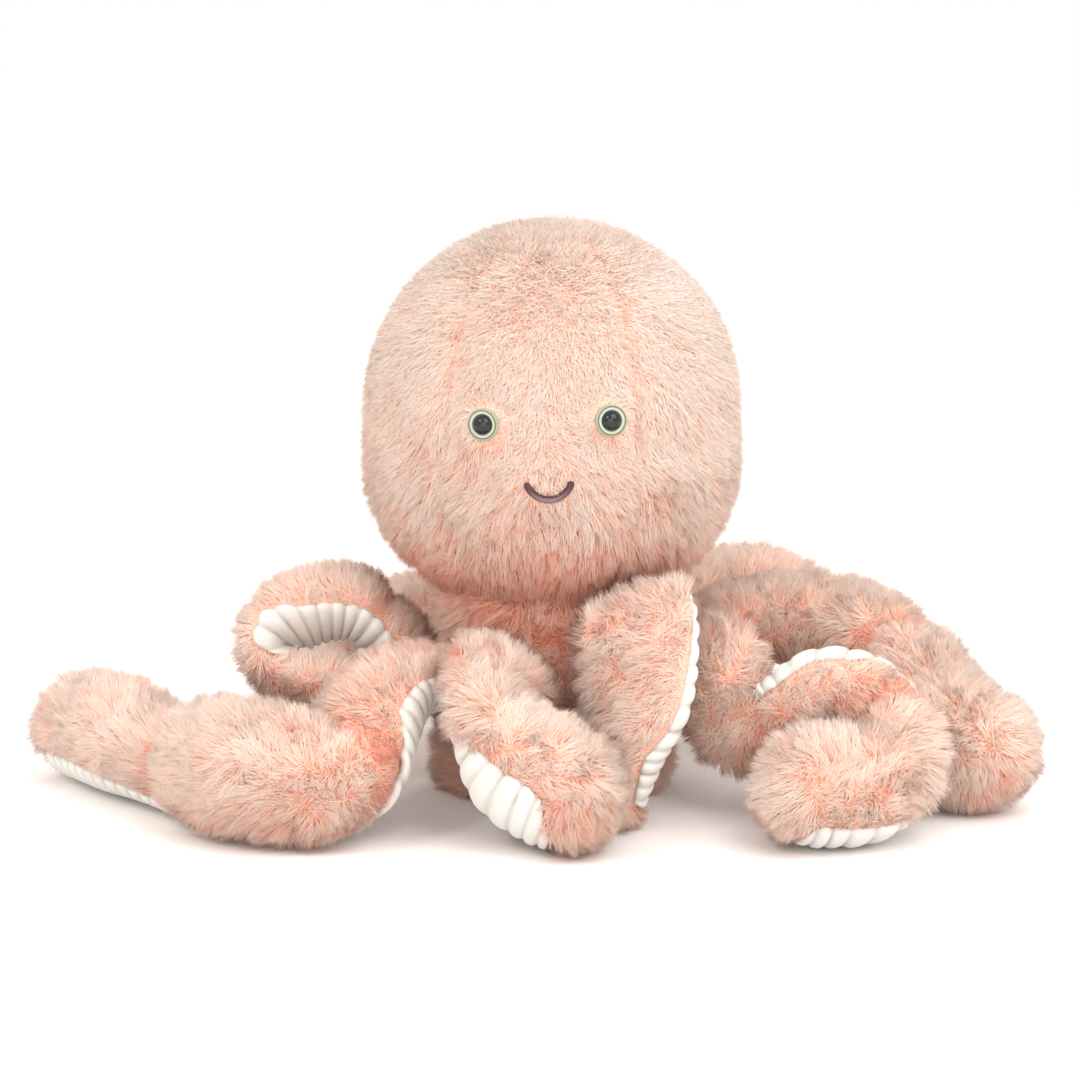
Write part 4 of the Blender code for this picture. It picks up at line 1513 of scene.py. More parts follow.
@dataclass
class Skirt:
    """The stuffed skirt with its pile, and the corded base that closes it.

    Attributes:
        wall_rise: how fast its wall climbs with the ball's cosine; over a half leaves flat ends.
        end_sine: the ball's sine at the edge of the flat ends.
        side_share_span: where the pile starts, as shares of the radius.
        rib_power: how round the base's ribs are; a low power is blunt.
    """

    form: SkirtForm = field(default_factory=SkirtForm)
    inset: float = 5.0 * MM
    around: int = 72
    rings: int = 40
    foot: float = 1.5 * MM
    wall_rise: float = 0.62
    end_sine: float = 0.59
    neck_start: float = 50.0 * MM
    neck_radius: float = 42.0 * MM
    neck_height: float = 88.0 * MM
    neck_growth: float = 3.0 * MM
    pile_length: float = 10.0 * MM
    pile_share: float = 0.66
    side_share_span: Span = (0.72, 0.80)
    stray: float = 2.4
    stray_scale: float = 90.0
    stray_seeds: tuple[float, float, float] = (5.0, 6.0, 7.0)
    fall: Way = (0.0, 0.0, -0.6)
    lean: float = math.radians(32.0)
    clump: float = 0.65
    blush: float = 0.25
    # Painted shade: redder, darker pile on the front between the arms and at the neck under the head
    front_shade: float = 0.5
    front_share_span: Span = (-0.2, 0.6)
    neck_shade: float = 0.35
    seed: int = 90
    rib_pitch: float = 5.5 * MM
    rib_depth: float = 0.9 * MM
    rib_power: float = 0.6
    rim_share: float = 0.94
    base_steps: int = 64

    def neck_closeness(self, level: np.ndarray) -> np.ndarray:
        """Return 0 on the skirt and 1 on the neck, for heights."""
        return smooth_step(self.neck_start, self.form.height, level)

    def backing_points(self, down: np.ndarray, turn: np.ndarray) -> np.ndarray:
        """Map a ball onto the backing.

        Args:
            down: angles from the ball's top.
            turn: angles about its axis.

        Returns:
            Rows of points.
        """
        rise = np.clip(0.5 + self.wall_rise * np.cos(down), 0.0, 1.0)
        level = self.foot + (self.neck_height - self.foot) * rise
        neck = self.neck_closeness(level)
        radius = self.form.radius_at(level) * (1 - neck) + self.neck_radius * neck
        radius = (radius - self.inset) * np.clip(np.sin(down) / self.end_sine, 0.0, 1.0)
        return np.stack([radius * np.cos(turn), radius * np.sin(turn), level], axis=1)

    def base_points(self, across: np.ndarray, along: np.ndarray) -> tuple[np.ndarray, np.ndarray]:
        """Map a square grid onto the ribbed disc.

        Args:
            across: shares across the grid.
            along: shares along it.

        Returns:
            Rows of points, and their ridge heights.
        """
        x, y = 2 * across - 1, 2 * along - 1
        disc_x, disc_y = x * np.sqrt(1 - y**2 / 2), y * np.sqrt(1 - x**2 / 2)
        reach = self.form.base_radius
        ridge = ribs(disc_y * reach / self.rib_pitch, self.rib_power)
        fade = 1 - smooth_step(self.rim_share, 1.0, np.hypot(disc_x, disc_y))
        level = self.rib_depth * (1 - ridge * fade)
        return np.stack([disc_x * reach, disc_y * reach, level], axis=1), ridge

    def build(self, pile: Pile, finishes: Finishes) -> None:
        """Build the skirt and its base, and dress them.

        Args:
            pile: the plush.
            finishes: the toy's materials.
        """
        mesh = ball_mesh("skirt_backing", self.around, self.rings, self.backing_points)
        backing = piece_of("skirt_backing", mesh, finishes.backing, Body.SKIRT.value,
                           ("body_skirt",))
        fur = pile.grow("skirt_pile", self.cloth(mesh), self.seed, self.pile_share)
        piece_of("skirt_pile", fur, finishes.pile, Body.SKIRT.value)

        mesh = sheet_mesh("base_cord", self.base_steps, self.base_steps, self.base_points)
        base = piece_of("base_cord", mesh, finishes.cord, Body.SKIRT.value, ("base_disc",))
        thicken(base, self.form.base_thickness - self.rib_depth)

    def cloth(self, mesh: bpy.types.Mesh) -> Cloth:
        """Set how the pile grows on the backing.

        Args:
            mesh: the backing.

        Returns:
            The cloth.
        """
        points, radius = points_of(mesh), self.form.radius
        low, high = self.side_share_span
        side = smooth_step(radius * low, radius * high, np.hypot(points[:, 0], points[:, 1]))
        neck = self.neck_closeness(points[:, 2])
        # Painted shade on the front and at the neck
        front = smooth_step(*self.front_share_span, -points[:, 1] / radius)
        comb = stray_ways(points, self.stray_scale, self.stray_seeds) * self.stray
        return Cloth.on(
            mesh, comb + np.array(self.fall), length=self.pile_length + self.neck_growth * neck,
            cover=side, lean=self.lean, clump=self.clump,
            blush=self.blush + self.front_shade * front + self.neck_shade * neck,
        )


RouteRow = tuple[float, float, float, float, float, Way]
EdgeRows = tuple[Span, ...]

# Each arm's stations, from its root on: how far along X and Y from the root and how high above
# the floor, as shares of the arm's length, its half width and half height, as shares of the
# arm's half width, and the way that its sole faces
ARM_ROUTE_SHARES: dict[str, tuple[RouteRow, ...]] = {
    "left": (
        (-0.069, 0.010, 0.263, 0.77, 0.50, (0.1, -0.1, -1)),
        (-0.169, 0.014, 0.345, 0.94, 0.67, (0, -0.35, -1)),
        (-0.271, 0.003, 0.342, 0.94, 0.67, (0.28, -0.55, -0.9)),
        (-0.337, -0.017, 0.286, 0.86, 0.57, (1, -0.3, 0)),
        (-0.302, -0.032, 0.219, 0.86, 0.53, (0.4, 0.05, 1)),
        (-0.216, -0.042, 0.196, 0.91, 0.57, (0, 0.35, 1)),
    ),
    "left_front": (
        (-0.055, -0.060, 0.247, 0.82, 0.55, (0.2, 0.1, -1)),
        (-0.130, -0.158, 0.245, 0.95, 0.75, (0.6, 0.3, -0.7)),
        (-0.173, -0.247, 0.190, 1.05, 0.94, (0.9, 0.4, -0.3)),
        (-0.222, -0.325, 0.130, 1.05, 1.07, (0.8, 0.7, -0.3)),
        (-0.342, -0.332, 0.129, 1.09, 1.20, (0.3, 0.8, -0.7)),
        (-0.455, -0.238, 0.122, 1.07, 1.14, (0.1, 0.5, -1)),
        (-0.563, -0.108, 0.095, 0.82, 0.83, (0, 0.2, -1)),
        (-0.660, 0.015, 0.110, 1.02, 1.02, (0, -0.1, -1)),
        (-0.754, 0.132, 0.107, 0.95, 0.98, (0, -0.2, -1)),
    ),
    "front_left": (
        (-0.043, -0.063, 0.260, 0.65, 0.46, (0, 0.1, -1)),
        (-0.094, -0.132, 0.308, 0.73, 0.57, (-0.1, 0.2, -1)),
        (-0.106, -0.202, 0.288, 0.77, 0.63, (-0.5, 0, -0.8)),
        (-0.082, -0.263, 0.228, 0.94, 0.78, (-0.8, -0.1, -0.5)),
        (-0.037, -0.301, 0.163, 1.13, 1.00, (-0.8, -0.6, -0.4)),
        (0.032, -0.321, 0.124, 1.12, 1.05, (-0.8, -0.6, -0.5)),
    ),
    "front_right": (
        (0.005, -0.039, 0.274, 0.73, 0.36, (0.1, -0.5, -0.6)),
        (0.010, -0.081, 0.358, 0.95, 0.41, (0.1, -0.7, -0.5)),
        (0.018, -0.141, 0.416, 1.05, 0.43, (0.2, 0.1, -1)),
        (0.025, -0.202, 0.363, 1.08, 0.42, (0.35, 1, -0.3)),
        (0.023, -0.209, 0.263, 1.05, 0.57, (0.7, 1, 0)),
        (0.004, -0.195, 0.179, 0.92, 0.66, (1, 0.5, 0)),
        (-0.014, -0.179, 0.089, 0.80, 0.58, (1, 0.35, 0.1)),
    ),
    "right_front": (
        (0.058, -0.016, 0.268, 0.57, 0.41, (0.1, 0.1, -1)),
        (0.098, -0.066, 0.300, 0.65, 0.51, (0.1, 0.3, -0.9)),
        (0.114, -0.134, 0.266, 0.77, 0.56, (-0.1, 0.7, -0.65)),
        (0.121, -0.203, 0.191, 0.83, 0.60, (-0.3, 0.9, 0)),
        (0.200, -0.254, 0.176, 0.92, 0.71, (-0.2, 0.7, 0.7)),
        (0.300, -0.262, 0.238, 1.08, 0.83, (0, 0.5, 0.9)),
        (0.395, -0.303, 0.216, 0.93, 0.79, (0.3, 1, 0.3)),
        (0.424, -0.388, 0.150, 0.86, 0.86, (0.8, 0.3, -0.6)),
        (0.358, -0.458, 0.111, 0.95, 1.00, (0.2, -0.1, -1)),
        (0.268, -0.479, 0.112, 1.04, 1.04, (0, -0.15, -1)),
    ),
    "right": (
        (0.070, 0.036, 0.243, 0.73, 0.50, (0.1, 0.05, -1)),
        (0.186, 0.061, 0.275, 0.92, 0.72, (0.1, 0, -1)),
        (0.318, 0.043, 0.289, 1.05, 0.84, (0, 0.1, -1)),
        (0.436, -0.014, 0.277, 1.07, 0.92, (-0.2, 0.2, -1)),
        (0.515, -0.108, 0.240, 1.06, 0.93, (-0.4, 0.35, -0.8)),
        (0.562, -0.211, 0.180, 1.07, 0.95, (-0.3, 0.4, -0.85)),
        (0.600, -0.305, 0.130, 1.14, 1.12, (0, 0.4, -1)),
        (0.640, -0.355, 0.117, 1.10, 1.09, (0.1, 0.3, -1)),
    ),
    "back_right": (
        (0.016, 0.069, 0.247, 0.68, 0.45, (0, 0.1, -1)),
        (0.105, 0.163, 0.290, 0.82, 0.59, (0, 0, -1)),
        (0.252, 0.216, 0.300, 0.91, 0.68, (0, -0.1, -1)),
        (0.405, 0.228, 0.311, 0.91, 0.73, (-0.2, -0.2, -1)),
        (0.515, 0.206, 0.270, 0.88, 0.70, (-0.7, -0.2, -0.6)),
        (0.563, 0.174, 0.175, 0.86, 0.68, (-1, -0.2, 0)),
        (0.542, 0.153, 0.084, 0.82, 0.68, (-0.9, -0.2, 0.4)),
    ),
    "back_left": (
        (-0.047, 0.065, 0.253, 0.68, 0.45, (0, 0.1, -1)),
        (-0.115, 0.154, 0.279, 0.86, 0.64, (0, 0, -1)),
        (-0.189, 0.249, 0.232, 0.95, 0.82, (0, -0.2, -1)),
        (-0.252, 0.344, 0.158, 0.95, 0.86, (0, -0.2, -1)),
        (-0.305, 0.449, 0.103, 1.00, 0.95, (0, -0.1, -1)),
        (-0.347, 0.565, 0.095, 0.95, 0.91, (0, 0, -1)),
        (-0.368, 0.649, 0.095, 0.91, 0.89, (0, 0, -1)),
    ),
}

# How far each sole wraps round, first on its minus side and then on its plus side: shares along
# the arm and degrees from the sole's middle. An arm that has no row here has the usual sole
SOLE_EDGE_DEGREES: dict[str, tuple[EdgeRows, EdgeRows]] = {
    "left": (
        ((0.0, 62),),
        ((0.0, 80), (0.28, 88), (0.42, 72), (0.56, 66), (0.66, 98), (0.72, 84), (0.79, 22), (1.1, 8)),
    ),
    "left_front": (
        ((0.0, 60),),
        ((0.0, 92), (0.27, 92), (0.36, 50), (0.58, 44), (0.68, 60), (1.0, 62)),
    ),
    "front_left": (
        ((0.0, 55), (0.46, 36), (0.58, 36), (0.66, 27), (0.76, 47), (0.92, 46), (1.1, 34), (1.3, 10)),
        ((0.0, 60),),
    ),
    "front_right": (
        ((0.0, 60),),
        ((0.0, 66), (0.38, 66), (0.52, 98), (0.62, 107), (0.84, 106), (1.0, 86), (1.2, 66)),
    ),
    "right_front": (
        ((0.0, 60),),
        ((0.0, 66), (0.40, 80), (0.62, 80), (0.70, 34), (0.84, 30), (0.92, 50), (1.1, 52)),
    ),
    "right": (
        ((0.0, 55), (0.5, 30), (1.1, 22)),
        ((0.0, 60),),
    ),
}

# Where an arm is creased across, as shares along it
CREASE_SHARES: dict[str, tuple[float, ...]] = {
    "left": (0.30,),
    "left_front": (0.33, 0.68),
    "front_left": (0.46,),
    "front_right": (0.34,),
    "right_front": (0.44, 0.70),
    "right": (0.64,),
}


@dataclass
class ArmForm:
    """One arm's route and sections, as the frame has them.

    Attributes:
        word: the arm's name.
        number: its place round the skirt, counted from the left.
        first_angle: the direction of the first arm about the vertical axis.
        sole_half_angle: how far a usual sole wraps round, from its middle.
        sole_end_half_angle: how far it wraps round at its tip.
        sole_depth_share: how deep the sole's side is, as a share of the other side.
        sole_round_share: how long the sole's round end is, as a share of the route.
        tip_round_share: how far the round tip reaches, as a share of the last half width.
        pinch_share: the least bend's radius that the stuffing fills, as a share.
        twist_passes: how often the soles' directions are averaged.
    """

    word: str
    number: int
    skirt: SkirtForm
    length: float = 190.0 * MM
    half_width: float = 22.0 * MM
    root_half_width: float = 13.5 * MM
    root_half_height: float = 5.5 * MM
    root_standoff: float = 2.0 * MM
    root_height: float = 40.0 * MM
    first_angle: float = math.radians(172.0)
    sole_half_angle: float = math.radians(60.0)
    sole_end_half_angle: float = math.radians(4.0)
    sole_depth_share: float = 0.92
    sole_round_share: float = 0.32
    sole_start_share: float = 0.10
    sole_end_share: float = 1.38
    tip_round_share: float = 0.90
    pinch_share: float = 0.66
    least_share: float = 0.15
    samples: int = 6
    twist_passes: int = 27

    def __post_init__(self) -> None:
        """Work out the sections along the route."""
        angle = self.first_angle + 2 * math.pi * self.number / len(ARM_ROUTE_SHARES)
        outward = np.array([math.cos(angle), math.sin(angle), 0.0])
        reach = float(self.skirt.radius_at(np.array(self.root_height))) + self.root_standoff
        root = outward * reach + np.array([0.0, 0.0, self.root_height])
        rows = [[*root, self.root_half_width, self.root_half_height, 0.0, 0.0, -1.0]]
        for x, y, level, width, height, sole in ARM_ROUTE_SHARES[self.word]:
            rows.append([
                root[0] + self.length * x, root[1] + self.length * y, self.length * level,
                self.half_width * width, self.half_width * height,
                *(np.array(sole) / np.linalg.norm(sole)),
            ])
        table = self.blend(np.array(rows))
        centre = table[:, :3]
        steps = np.diff(centre, axis=0)
        lengths = np.linalg.norm(steps, axis=1)
        across = np.cross(outward, [0.0, 0.0, 1.0])
        ahead = np.vstack([
            square_to(steps[:1], across[None]), unit(steps[:-1] + steps[1:]), unit(steps[-1:]),
        ])
        sole = square_to(table[:, 5:], ahead)
        for _ in range(self.twist_passes):
            sole = square_to(self.evened(sole), ahead)
        turn = np.diff(unit(steps), axis=0) * 2 / (lengths[:-1] + lengths[1:])[:, None]
        bend = np.vstack([np.zeros(3), turn, np.zeros(3)])
        for _ in range(self.samples):
            bend = self.evened(bend)
        self.run = np.concatenate([[0.0], np.cumsum(lengths)])
        self.reach = float(self.run[-1])
        self.centre, self.ahead, self.sole, self.bend = centre, ahead, sole, bend
        self.width, self.height = table[:, 3], table[:, 4]
        self.tip_reach = float(self.width[-1]) * self.tip_round_share

    def blend(self, rows: np.ndarray) -> np.ndarray:
        """Draw a smooth curve through the route's rows.

        Args:
            rows: the stations' values.

        Returns:
            The values at every section.
        """
        last = len(rows) - 1
        found = []
        for place in np.linspace(0.0, last, last * self.samples + 1):
            index = min(int(place), last - 1)
            part = place - index
            a, b = rows[max(index - 1, 0)], rows[index]
            c, d = rows[index + 1], rows[min(index + 2, last)]
            found.append(0.5 * (
                2 * b + (c - a) * part + (2 * a - 5 * b + 4 * c - d) * part**2
                + (3 * b - a - 3 * c + d) * part**3
            ))
        return np.array(found)

    @staticmethod
    def evened(values: np.ndarray) -> np.ndarray:
        """Return rows averaged with their neighbours, the ends kept."""
        middle = (values[:-2] + values[1:-1] * 2 + values[2:]) / 4
        return np.vstack([values[:1], middle, values[-1:]])

    def at(self, share: np.ndarray) -> dict[str, np.ndarray]:
        """Find sections of the arm.

        Args:
            share: shares of the route; below 0 is the root's end, and past 1 the round tip.

        Returns:
            The centre, ahead, side, sole, bend, width and height of each.
        """
        place = np.clip(share, 0.0, 1.0) * self.reach

        def take(values: np.ndarray) -> np.ndarray:
            """Return rows of section values at the places."""
            return np.stack([np.interp(place, self.run, column) for column in values.T], axis=1)

        ahead = unit(take(self.ahead))
        sole = square_to(take(self.sole), ahead)
        past = np.clip(share - 1.0, 0.0, 1.0)
        before = np.clip(-share, 0.0, 1.0)
        shrink = round_end(past) * round_end(before)
        shift = ahead * (past * self.tip_reach - before * self.root_half_height)[:, None]
        return {
            "centre": take(self.centre) + shift, "ahead": ahead, "sole": sole,
            "side": np.cross(ahead, sole), "bend": take(self.bend),
            "width": np.interp(place, self.run, self.width) * shrink,
            "height": np.interp(place, self.run, self.height) * shrink,
        }

    def points(self, share: np.ndarray, angle: np.ndarray, inset: np.ndarray | float) -> np.ndarray:
        """Find points of the outline.

        Args:
            share: where along the route each is.
            angle: its angle from the middle of the sole.
            inset: how far inside the outline it lies.

        Returns:
            Rows of points.
        """
        found = self.at(share)
        width, height = found["width"], found["height"]
        deep = height * np.where(np.cos(angle) > 0, self.sole_depth_share, 1.0)
        least = width * self.least_share
        reach = found["side"] * (np.maximum(width - inset, least) * np.sin(angle))[:, None]
        reach = reach + found["sole"] * (np.maximum(deep - inset, least) * np.cos(angle))[:, None]
        return found["centre"] + self.pinched(reach, found)

    def pinched(self, reach: np.ndarray, found: dict[str, np.ndarray]) -> np.ndarray:
        """Pinch the inside of tight bends, where the stuffing has no room to swell.

        Args:
            reach: the ways from the sections' centres to the outline.
            found: the sections.

        Returns:
            The pinched ways.
        """
        curve = np.linalg.norm(found["bend"], axis=1)
        inwards = unit(found["bend"])
        swell = np.hypot(
            found["width"] * np.sum(found["side"] * inwards, axis=1),
            found["height"] * np.sum(found["sole"] * inwards, axis=1),
        )
        room = self.pinch_share / np.maximum(curve, TINY)
        depth = np.sum(reach * inwards, axis=1)
        tight = (depth > 0) & (swell > room) & (curve * found["width"] >= self.least_share)
        cut = np.where(tight, depth * (1 - room / np.maximum(swell, TINY)), 0.0)
        return reach - inwards * cut[:, None]

    def half_angle(self, share: np.ndarray, side: np.ndarray) -> np.ndarray:
        """Measure how far the sole wraps round.

        Args:
            share: where along the route.
            side: which side of the sole, by its sign.

        Returns:
            Angles from the sole's middle, which close in a round end at the tip.
        """
        left = np.clip((self.sole_end_share - share) / self.sole_round_share, 0.0, 1.0)
        usual = ((0.0, math.degrees(self.sole_half_angle)),)
        edges = [
            np.interp(share, *np.array(rows).T)
            for rows in SOLE_EDGE_DEGREES.get(self.word, (usual, usual))
        ]
        whole = np.radians(np.where(side < 0, *edges))
        return self.sole_end_half_angle + (whole - self.sole_end_half_angle) * round_end(1 - left)


@dataclass
class Arm:
    """One stuffed arm: backing, pile and corded sole.

    Attributes:
        swell: how far the stuffing swells, in waves of swell_scale for each metre.
        net_root: the share that stands for the root's end in the net that locates points.
        net_finer: how many of the net's rings lie on each ring of the backing.
        full_seam_degrees: how far a sole wraps round where its seam starts and is fully sewn.
        seam_edge: where the pile's cover starts outside the seam.
        seam_reach: how far from the seam the pile is brushed out over it.
        ahead_comb: how strongly the pile is brushed towards the tip.
        side_comb: how strongly it is brushed to the sole where the seam is fully sewn, more
            by seam_comb at the seam, and everywhere less by back_comb.
        lean: how far the pile lies over, in degrees, more by seam_lean at the seam.
        blush: the reddening all over, and then the painted shade by the root, on the underside and in the
            creases.
        pile_split: where the upper pile and the tip's part, as a share of the arm.
        rib_power: how round a rib is; a low power is blunt.
        rib_sway: how far ribs slant, as a share of their pitch, over rib_sway_turns radians.
        rib_spread: how far a rib spreads over the seam, past rib_spread_level of its height.
        edge_share: where the sole's edge starts to draw in, by edge_depth, as a share.
        pressed_share: how deep its ribs are on the floor, as a share of the usual.
    """

    form: ArmForm
    inset: float = 3.4 * MM
    around: int = 44
    ring_step: float = 3.4 * MM
    swell: float = 1.3 * MM
    swell_scale: float = 34.0
    swell_seed: float = 0.5
    crease_width_share: float = 0.03
    crease_depth: float = 2.5 * MM
    floor: float = 0.6 * MM
    net_root: float = -0.7
    net_finer: int = 3
    net_tip_span: Span = (0.1, 0.99)
    net_tip_steps: int = 12
    net_around: int = 48
    pile_length: float = 8.6 * MM
    full_seam_degrees: Span = (25.0, 50.0)
    seam_edge: Span = (-0.5 * MM, 1.5 * MM)
    seam_reach: float = 9.0 * MM
    seam_short: float = 0.5
    crease_short: float = 0.4
    ahead_comb: float = 0.7
    side_comb: float = 1.6
    back_comb: float = 1.1
    seam_comb: float = 1.5
    curl: float = 2.2
    curl_scale: float = 110.0
    curl_seeds: tuple[float, float, float] = (1.1, 2.2, 3.3)
    lean: float = 34.0
    seam_lean: float = 22.0
    clump: float = 0.62
    blush: float = 0.24
    # Painted shade: redder, darker pile near the skirt, on the underside and in the creases
    root_shade: float = 0.40
    root_share: float = 0.45
    underside_shade: float = 0.45
    under_share: float = 0.8
    crease_shade: float = 0.8
    pile_split: float = 0.5
    first_seed: int = 10
    cord_inset: float = 0.5 * MM
    cord_thickness: float = 3.0 * MM
    cord_across: int = 22
    rib_pitch: float = 5.9 * MM
    rib_depth: float = 1.5 * MM
    rib_power: float = 0.55
    rib_steps: int = 7
    rib_sway: float = 0.10
    rib_sway_turns: float = 18.6
    rib_spread: float = math.radians(3.0)
    rib_spread_level: float = 0.4
    edge_share: float = 0.85
    edge_depth: float = 0.9 * MM
    cord_floor: float = 0.15 * MM
    pressed_share: float = 0.3

    @property
    def body(self) -> str:
        """The frame's body that carries the arm."""
        return f"arm_{self.form.word}"

    @property
    def total_run(self) -> float:
        """How long the arm is from end to end, its round ends included."""
        return self.form.root_half_height + self.form.reach + self.form.tip_reach

    @property
    def rings(self) -> int:
        """The number of steps along the backing."""
        return int(self.total_run / self.ring_step)

    @property
    def cord_run(self) -> float:
        """How long the sole is."""
        form = self.form
        return form.reach * (1 - form.sole_start_share) + form.tip_reach * (form.sole_end_share - 1)

    def creased(self, share: np.ndarray) -> np.ndarray:
        """Find the creases across the arm.

        Args:
            share: shares along the arm.

        Returns:
            1 in a crease and 0 away from them.
        """
        closeness = np.zeros(len(share))
        for crease in CREASE_SHARES.get(self.form.word, ()):
            off = (share - crease) / self.crease_width_share
            closeness = np.maximum(closeness, np.exp(-(off**2)))
        return closeness

    def backing_points(self, down: np.ndarray, turn: np.ndarray) -> np.ndarray:
        """Map a ball onto the backing, the root at the ball's top.

        Args:
            down: angles from the ball's top, which go along the arm.
            turn: angles about its axis, which go around the arm.

        Returns:
            Rows of points.
        """
        form = self.form
        run = down / math.pi * self.total_run - form.root_half_height
        share = np.where(
            run < 0, run / form.root_half_height,
            np.where(run > form.reach, 1 + (run - form.reach) / form.tip_reach, run / form.reach),
        )
        points = form.points(share, turn, self.inset + self.crease_depth * self.creased(share))
        swell = waves(points, self.swell_scale, form.number + self.swell_seed) * self.swell
        swell = swell * round_end(np.clip(share - 1, 0, 1))
        points = points + unit(points - form.at(share)["centre"]) * swell[:, None]
        points[:, 2] = np.maximum(points[:, 2], self.floor)
        return points

    def located(self, points: np.ndarray) -> tuple[np.ndarray, np.ndarray]:
        """Locate surface points on the arm, by the nearest point of a net.

        Args:
            points: rows of points.

        Returns:
            Their shares along the arm and angles around it.
        """
        tip = 1 + np.linspace(*self.net_tip_span, self.net_tip_steps)
        shares = np.concatenate([[self.net_root], np.linspace(0, 1, self.net_finer * self.rings), tip])
        turns = np.linspace(-math.pi, math.pi, self.net_around, endpoint=False)
        share, angle = (grid.ravel() for grid in np.meshgrid(shares, turns, indexing="ij"))
        tree = tree_of(self.form.points(share, angle, self.inset))
        nearest = np.array([tree.find(point)[1] for point in points])
        return share[nearest], angle[nearest]

    def cloth(self, mesh: bpy.types.Mesh, share: np.ndarray, angle: np.ndarray) -> Cloth:
        """Set how the pile grows on the backing.

        Args:
            mesh: the backing.
            share: its points' shares along the arm.
            angle: their angles around it.

        Returns:
            The cloth.
        """
        form = self.form
        points = points_of(mesh)
        found = form.at(share)
        half = form.half_angle(share, angle)
        wide = smooth_step(*(math.radians(part) for part in self.full_seam_degrees), half)
        has_sole = (share > form.sole_start_share) & (share < form.sole_end_share)
        seam_run = (np.abs(angle) - half) * found["width"]
        cover = np.where(has_sole, smooth_step(*self.seam_edge, seam_run), 1.0)
        by_seam = np.where(has_sole, 1 - smooth_step(0.0, self.seam_reach, seam_run), 0.0) * wide
        crease = self.creased(share)
        short = (1 - self.seam_short * by_seam) * (1 - self.crease_short * crease)

        around = np.cos(angle)[:, None] * found["side"] * np.sign(angle)[:, None]
        around = around - np.abs(np.sin(angle))[:, None] * found["sole"]
        aside = self.side_comb * wide - self.back_comb + self.seam_comb * by_seam
        comb = found["ahead"] * self.ahead_comb + around * aside[:, None]
        seeds = tuple(form.number + seed for seed in self.curl_seeds)
        comb += stray_ways(points, self.curl_scale, seeds) * self.curl

        # Painted shade near the root, on the downward-facing underside and in the creases
        near_root = 1 - smooth_step(0.0, self.root_share, share)
        under = smooth_step(0.0, self.under_share, -normals_of(mesh)[:, 2])
        blush = self.blush + self.root_shade * near_root + self.underside_shade * under
        return Cloth.on(
            mesh, comb, length=self.pile_length * short, cover=cover,
            lean=np.radians(self.lean + self.seam_lean * by_seam), clump=self.clump,
            blush=blush + self.crease_shade * crease,
        )

    def build(self, pile: Pile, finishes: Finishes) -> None:
        """Build the arm and dress it.

        Args:
            pile: the plush.
            finishes: the toy's materials.
        """
        name = self.body
        mesh = ball_mesh(f"{name}_backing", self.around, self.rings, self.backing_points)
        backing = piece_of(f"{name}_backing", mesh, finishes.backing, name, (name,))
        share, angle = self.located(points_of(mesh))
        cloth = self.cloth(mesh, share, angle)
        outer = share[cloth.faces].mean(axis=1) > self.pile_split
        for place, (word, chosen) in enumerate((("upper", ~outer), ("tip", outer))):
            part = replace(cloth, faces=cloth.faces[chosen])
            seed = self.first_seed + 2 * self.form.number + place
            fur = pile.grow(f"{name}_pile_{word}", part, seed)
            piece_of(f"{name}_pile_{word}", fur, finishes.pile, name)
        self.build_sole(finishes)

    def cord_points(self, across: np.ndarray, along: np.ndarray) -> tuple[np.ndarray, np.ndarray]:
        """Map a square grid onto the sole's shown side.

        Args:
            across: shares across the grid.
            along: shares along it, from the root.

        Returns:
            Rows of points, and their ridge heights.
        """
        form = self.form
        run = along * self.cord_run
        body_run = form.reach * (1 - form.sole_start_share)
        share = np.where(
            run <= body_run, form.sole_start_share + run / form.reach,
            1 + (run - body_run) / form.tip_reach,
        )
        side = 2 * across - 1
        sway = self.rib_sway * np.sin(self.rib_sway_turns * along + form.number) * side
        ridge = ribs(run / self.rib_pitch + sway, self.rib_power)
        half = form.half_angle(share, side) + self.rib_spread * (ridge - self.rib_spread_level)
        edge = smooth_step(self.edge_share, 1.0, np.abs(side))
        groove = self.rib_depth * (1 - ridge)
        points = form.points(share, side * half, self.cord_inset + groove + self.edge_depth * edge)
        points[:, 2] = np.maximum(points[:, 2], self.cord_floor + groove * self.pressed_share)
        return points, ridge

    def build_sole(self, finishes: Finishes) -> None:
        """Build the ribbed cord panel, its shown side outwards.

        Args:
            finishes: the toy's materials.
        """
        name = f"sole_{self.form.word}"
        steps = int(self.cord_run / self.rib_pitch * self.rib_steps)
        mesh = sheet_mesh(f"{name}_cord", self.cord_across, steps, self.cord_points)
        piece = piece_of(f"{name}_cord", mesh, finishes.cord, self.body, (name,))
        halfway, sole_middle = np.array([0.5]), np.array([0.0])
        probe = Vector(self.form.points(halfway, sole_middle, 0.0)[0])
        outward = probe - Vector(self.form.at(halfway)["centre"][0])
        nearest = min(mesh.polygons, key=lambda face: (face.center - probe).length)
        if nearest.normal.dot(outward) < 0:
            mesh.flip_normals()
        thicken(piece, self.cord_thickness)


def shown_rays(tree: bpy.types.NodeTree) -> bpy.types.NodeSocket:
    """Tell the surface that is looked at from the one that lights the toy.

    Args:
        tree: the nodes of a material or the world.

    Returns:
        A socket that is 1 where the camera, a reflection or a clear part sees the surface.
    """
    rays = tree.nodes.new("ShaderNodeLightPath")
    shown = rays.outputs["Is Camera Ray"]
    for kind in ("Is Glossy Ray", "Is Transmission Ray"):
        either = tree.nodes.new("ShaderNodeMath")
        either.operation = "MAXIMUM"
        tree.links.new(shown, either.inputs[0])
        tree.links.new(rays.outputs[kind], either.inputs[1])
        shown = either.outputs[0]
    return shown


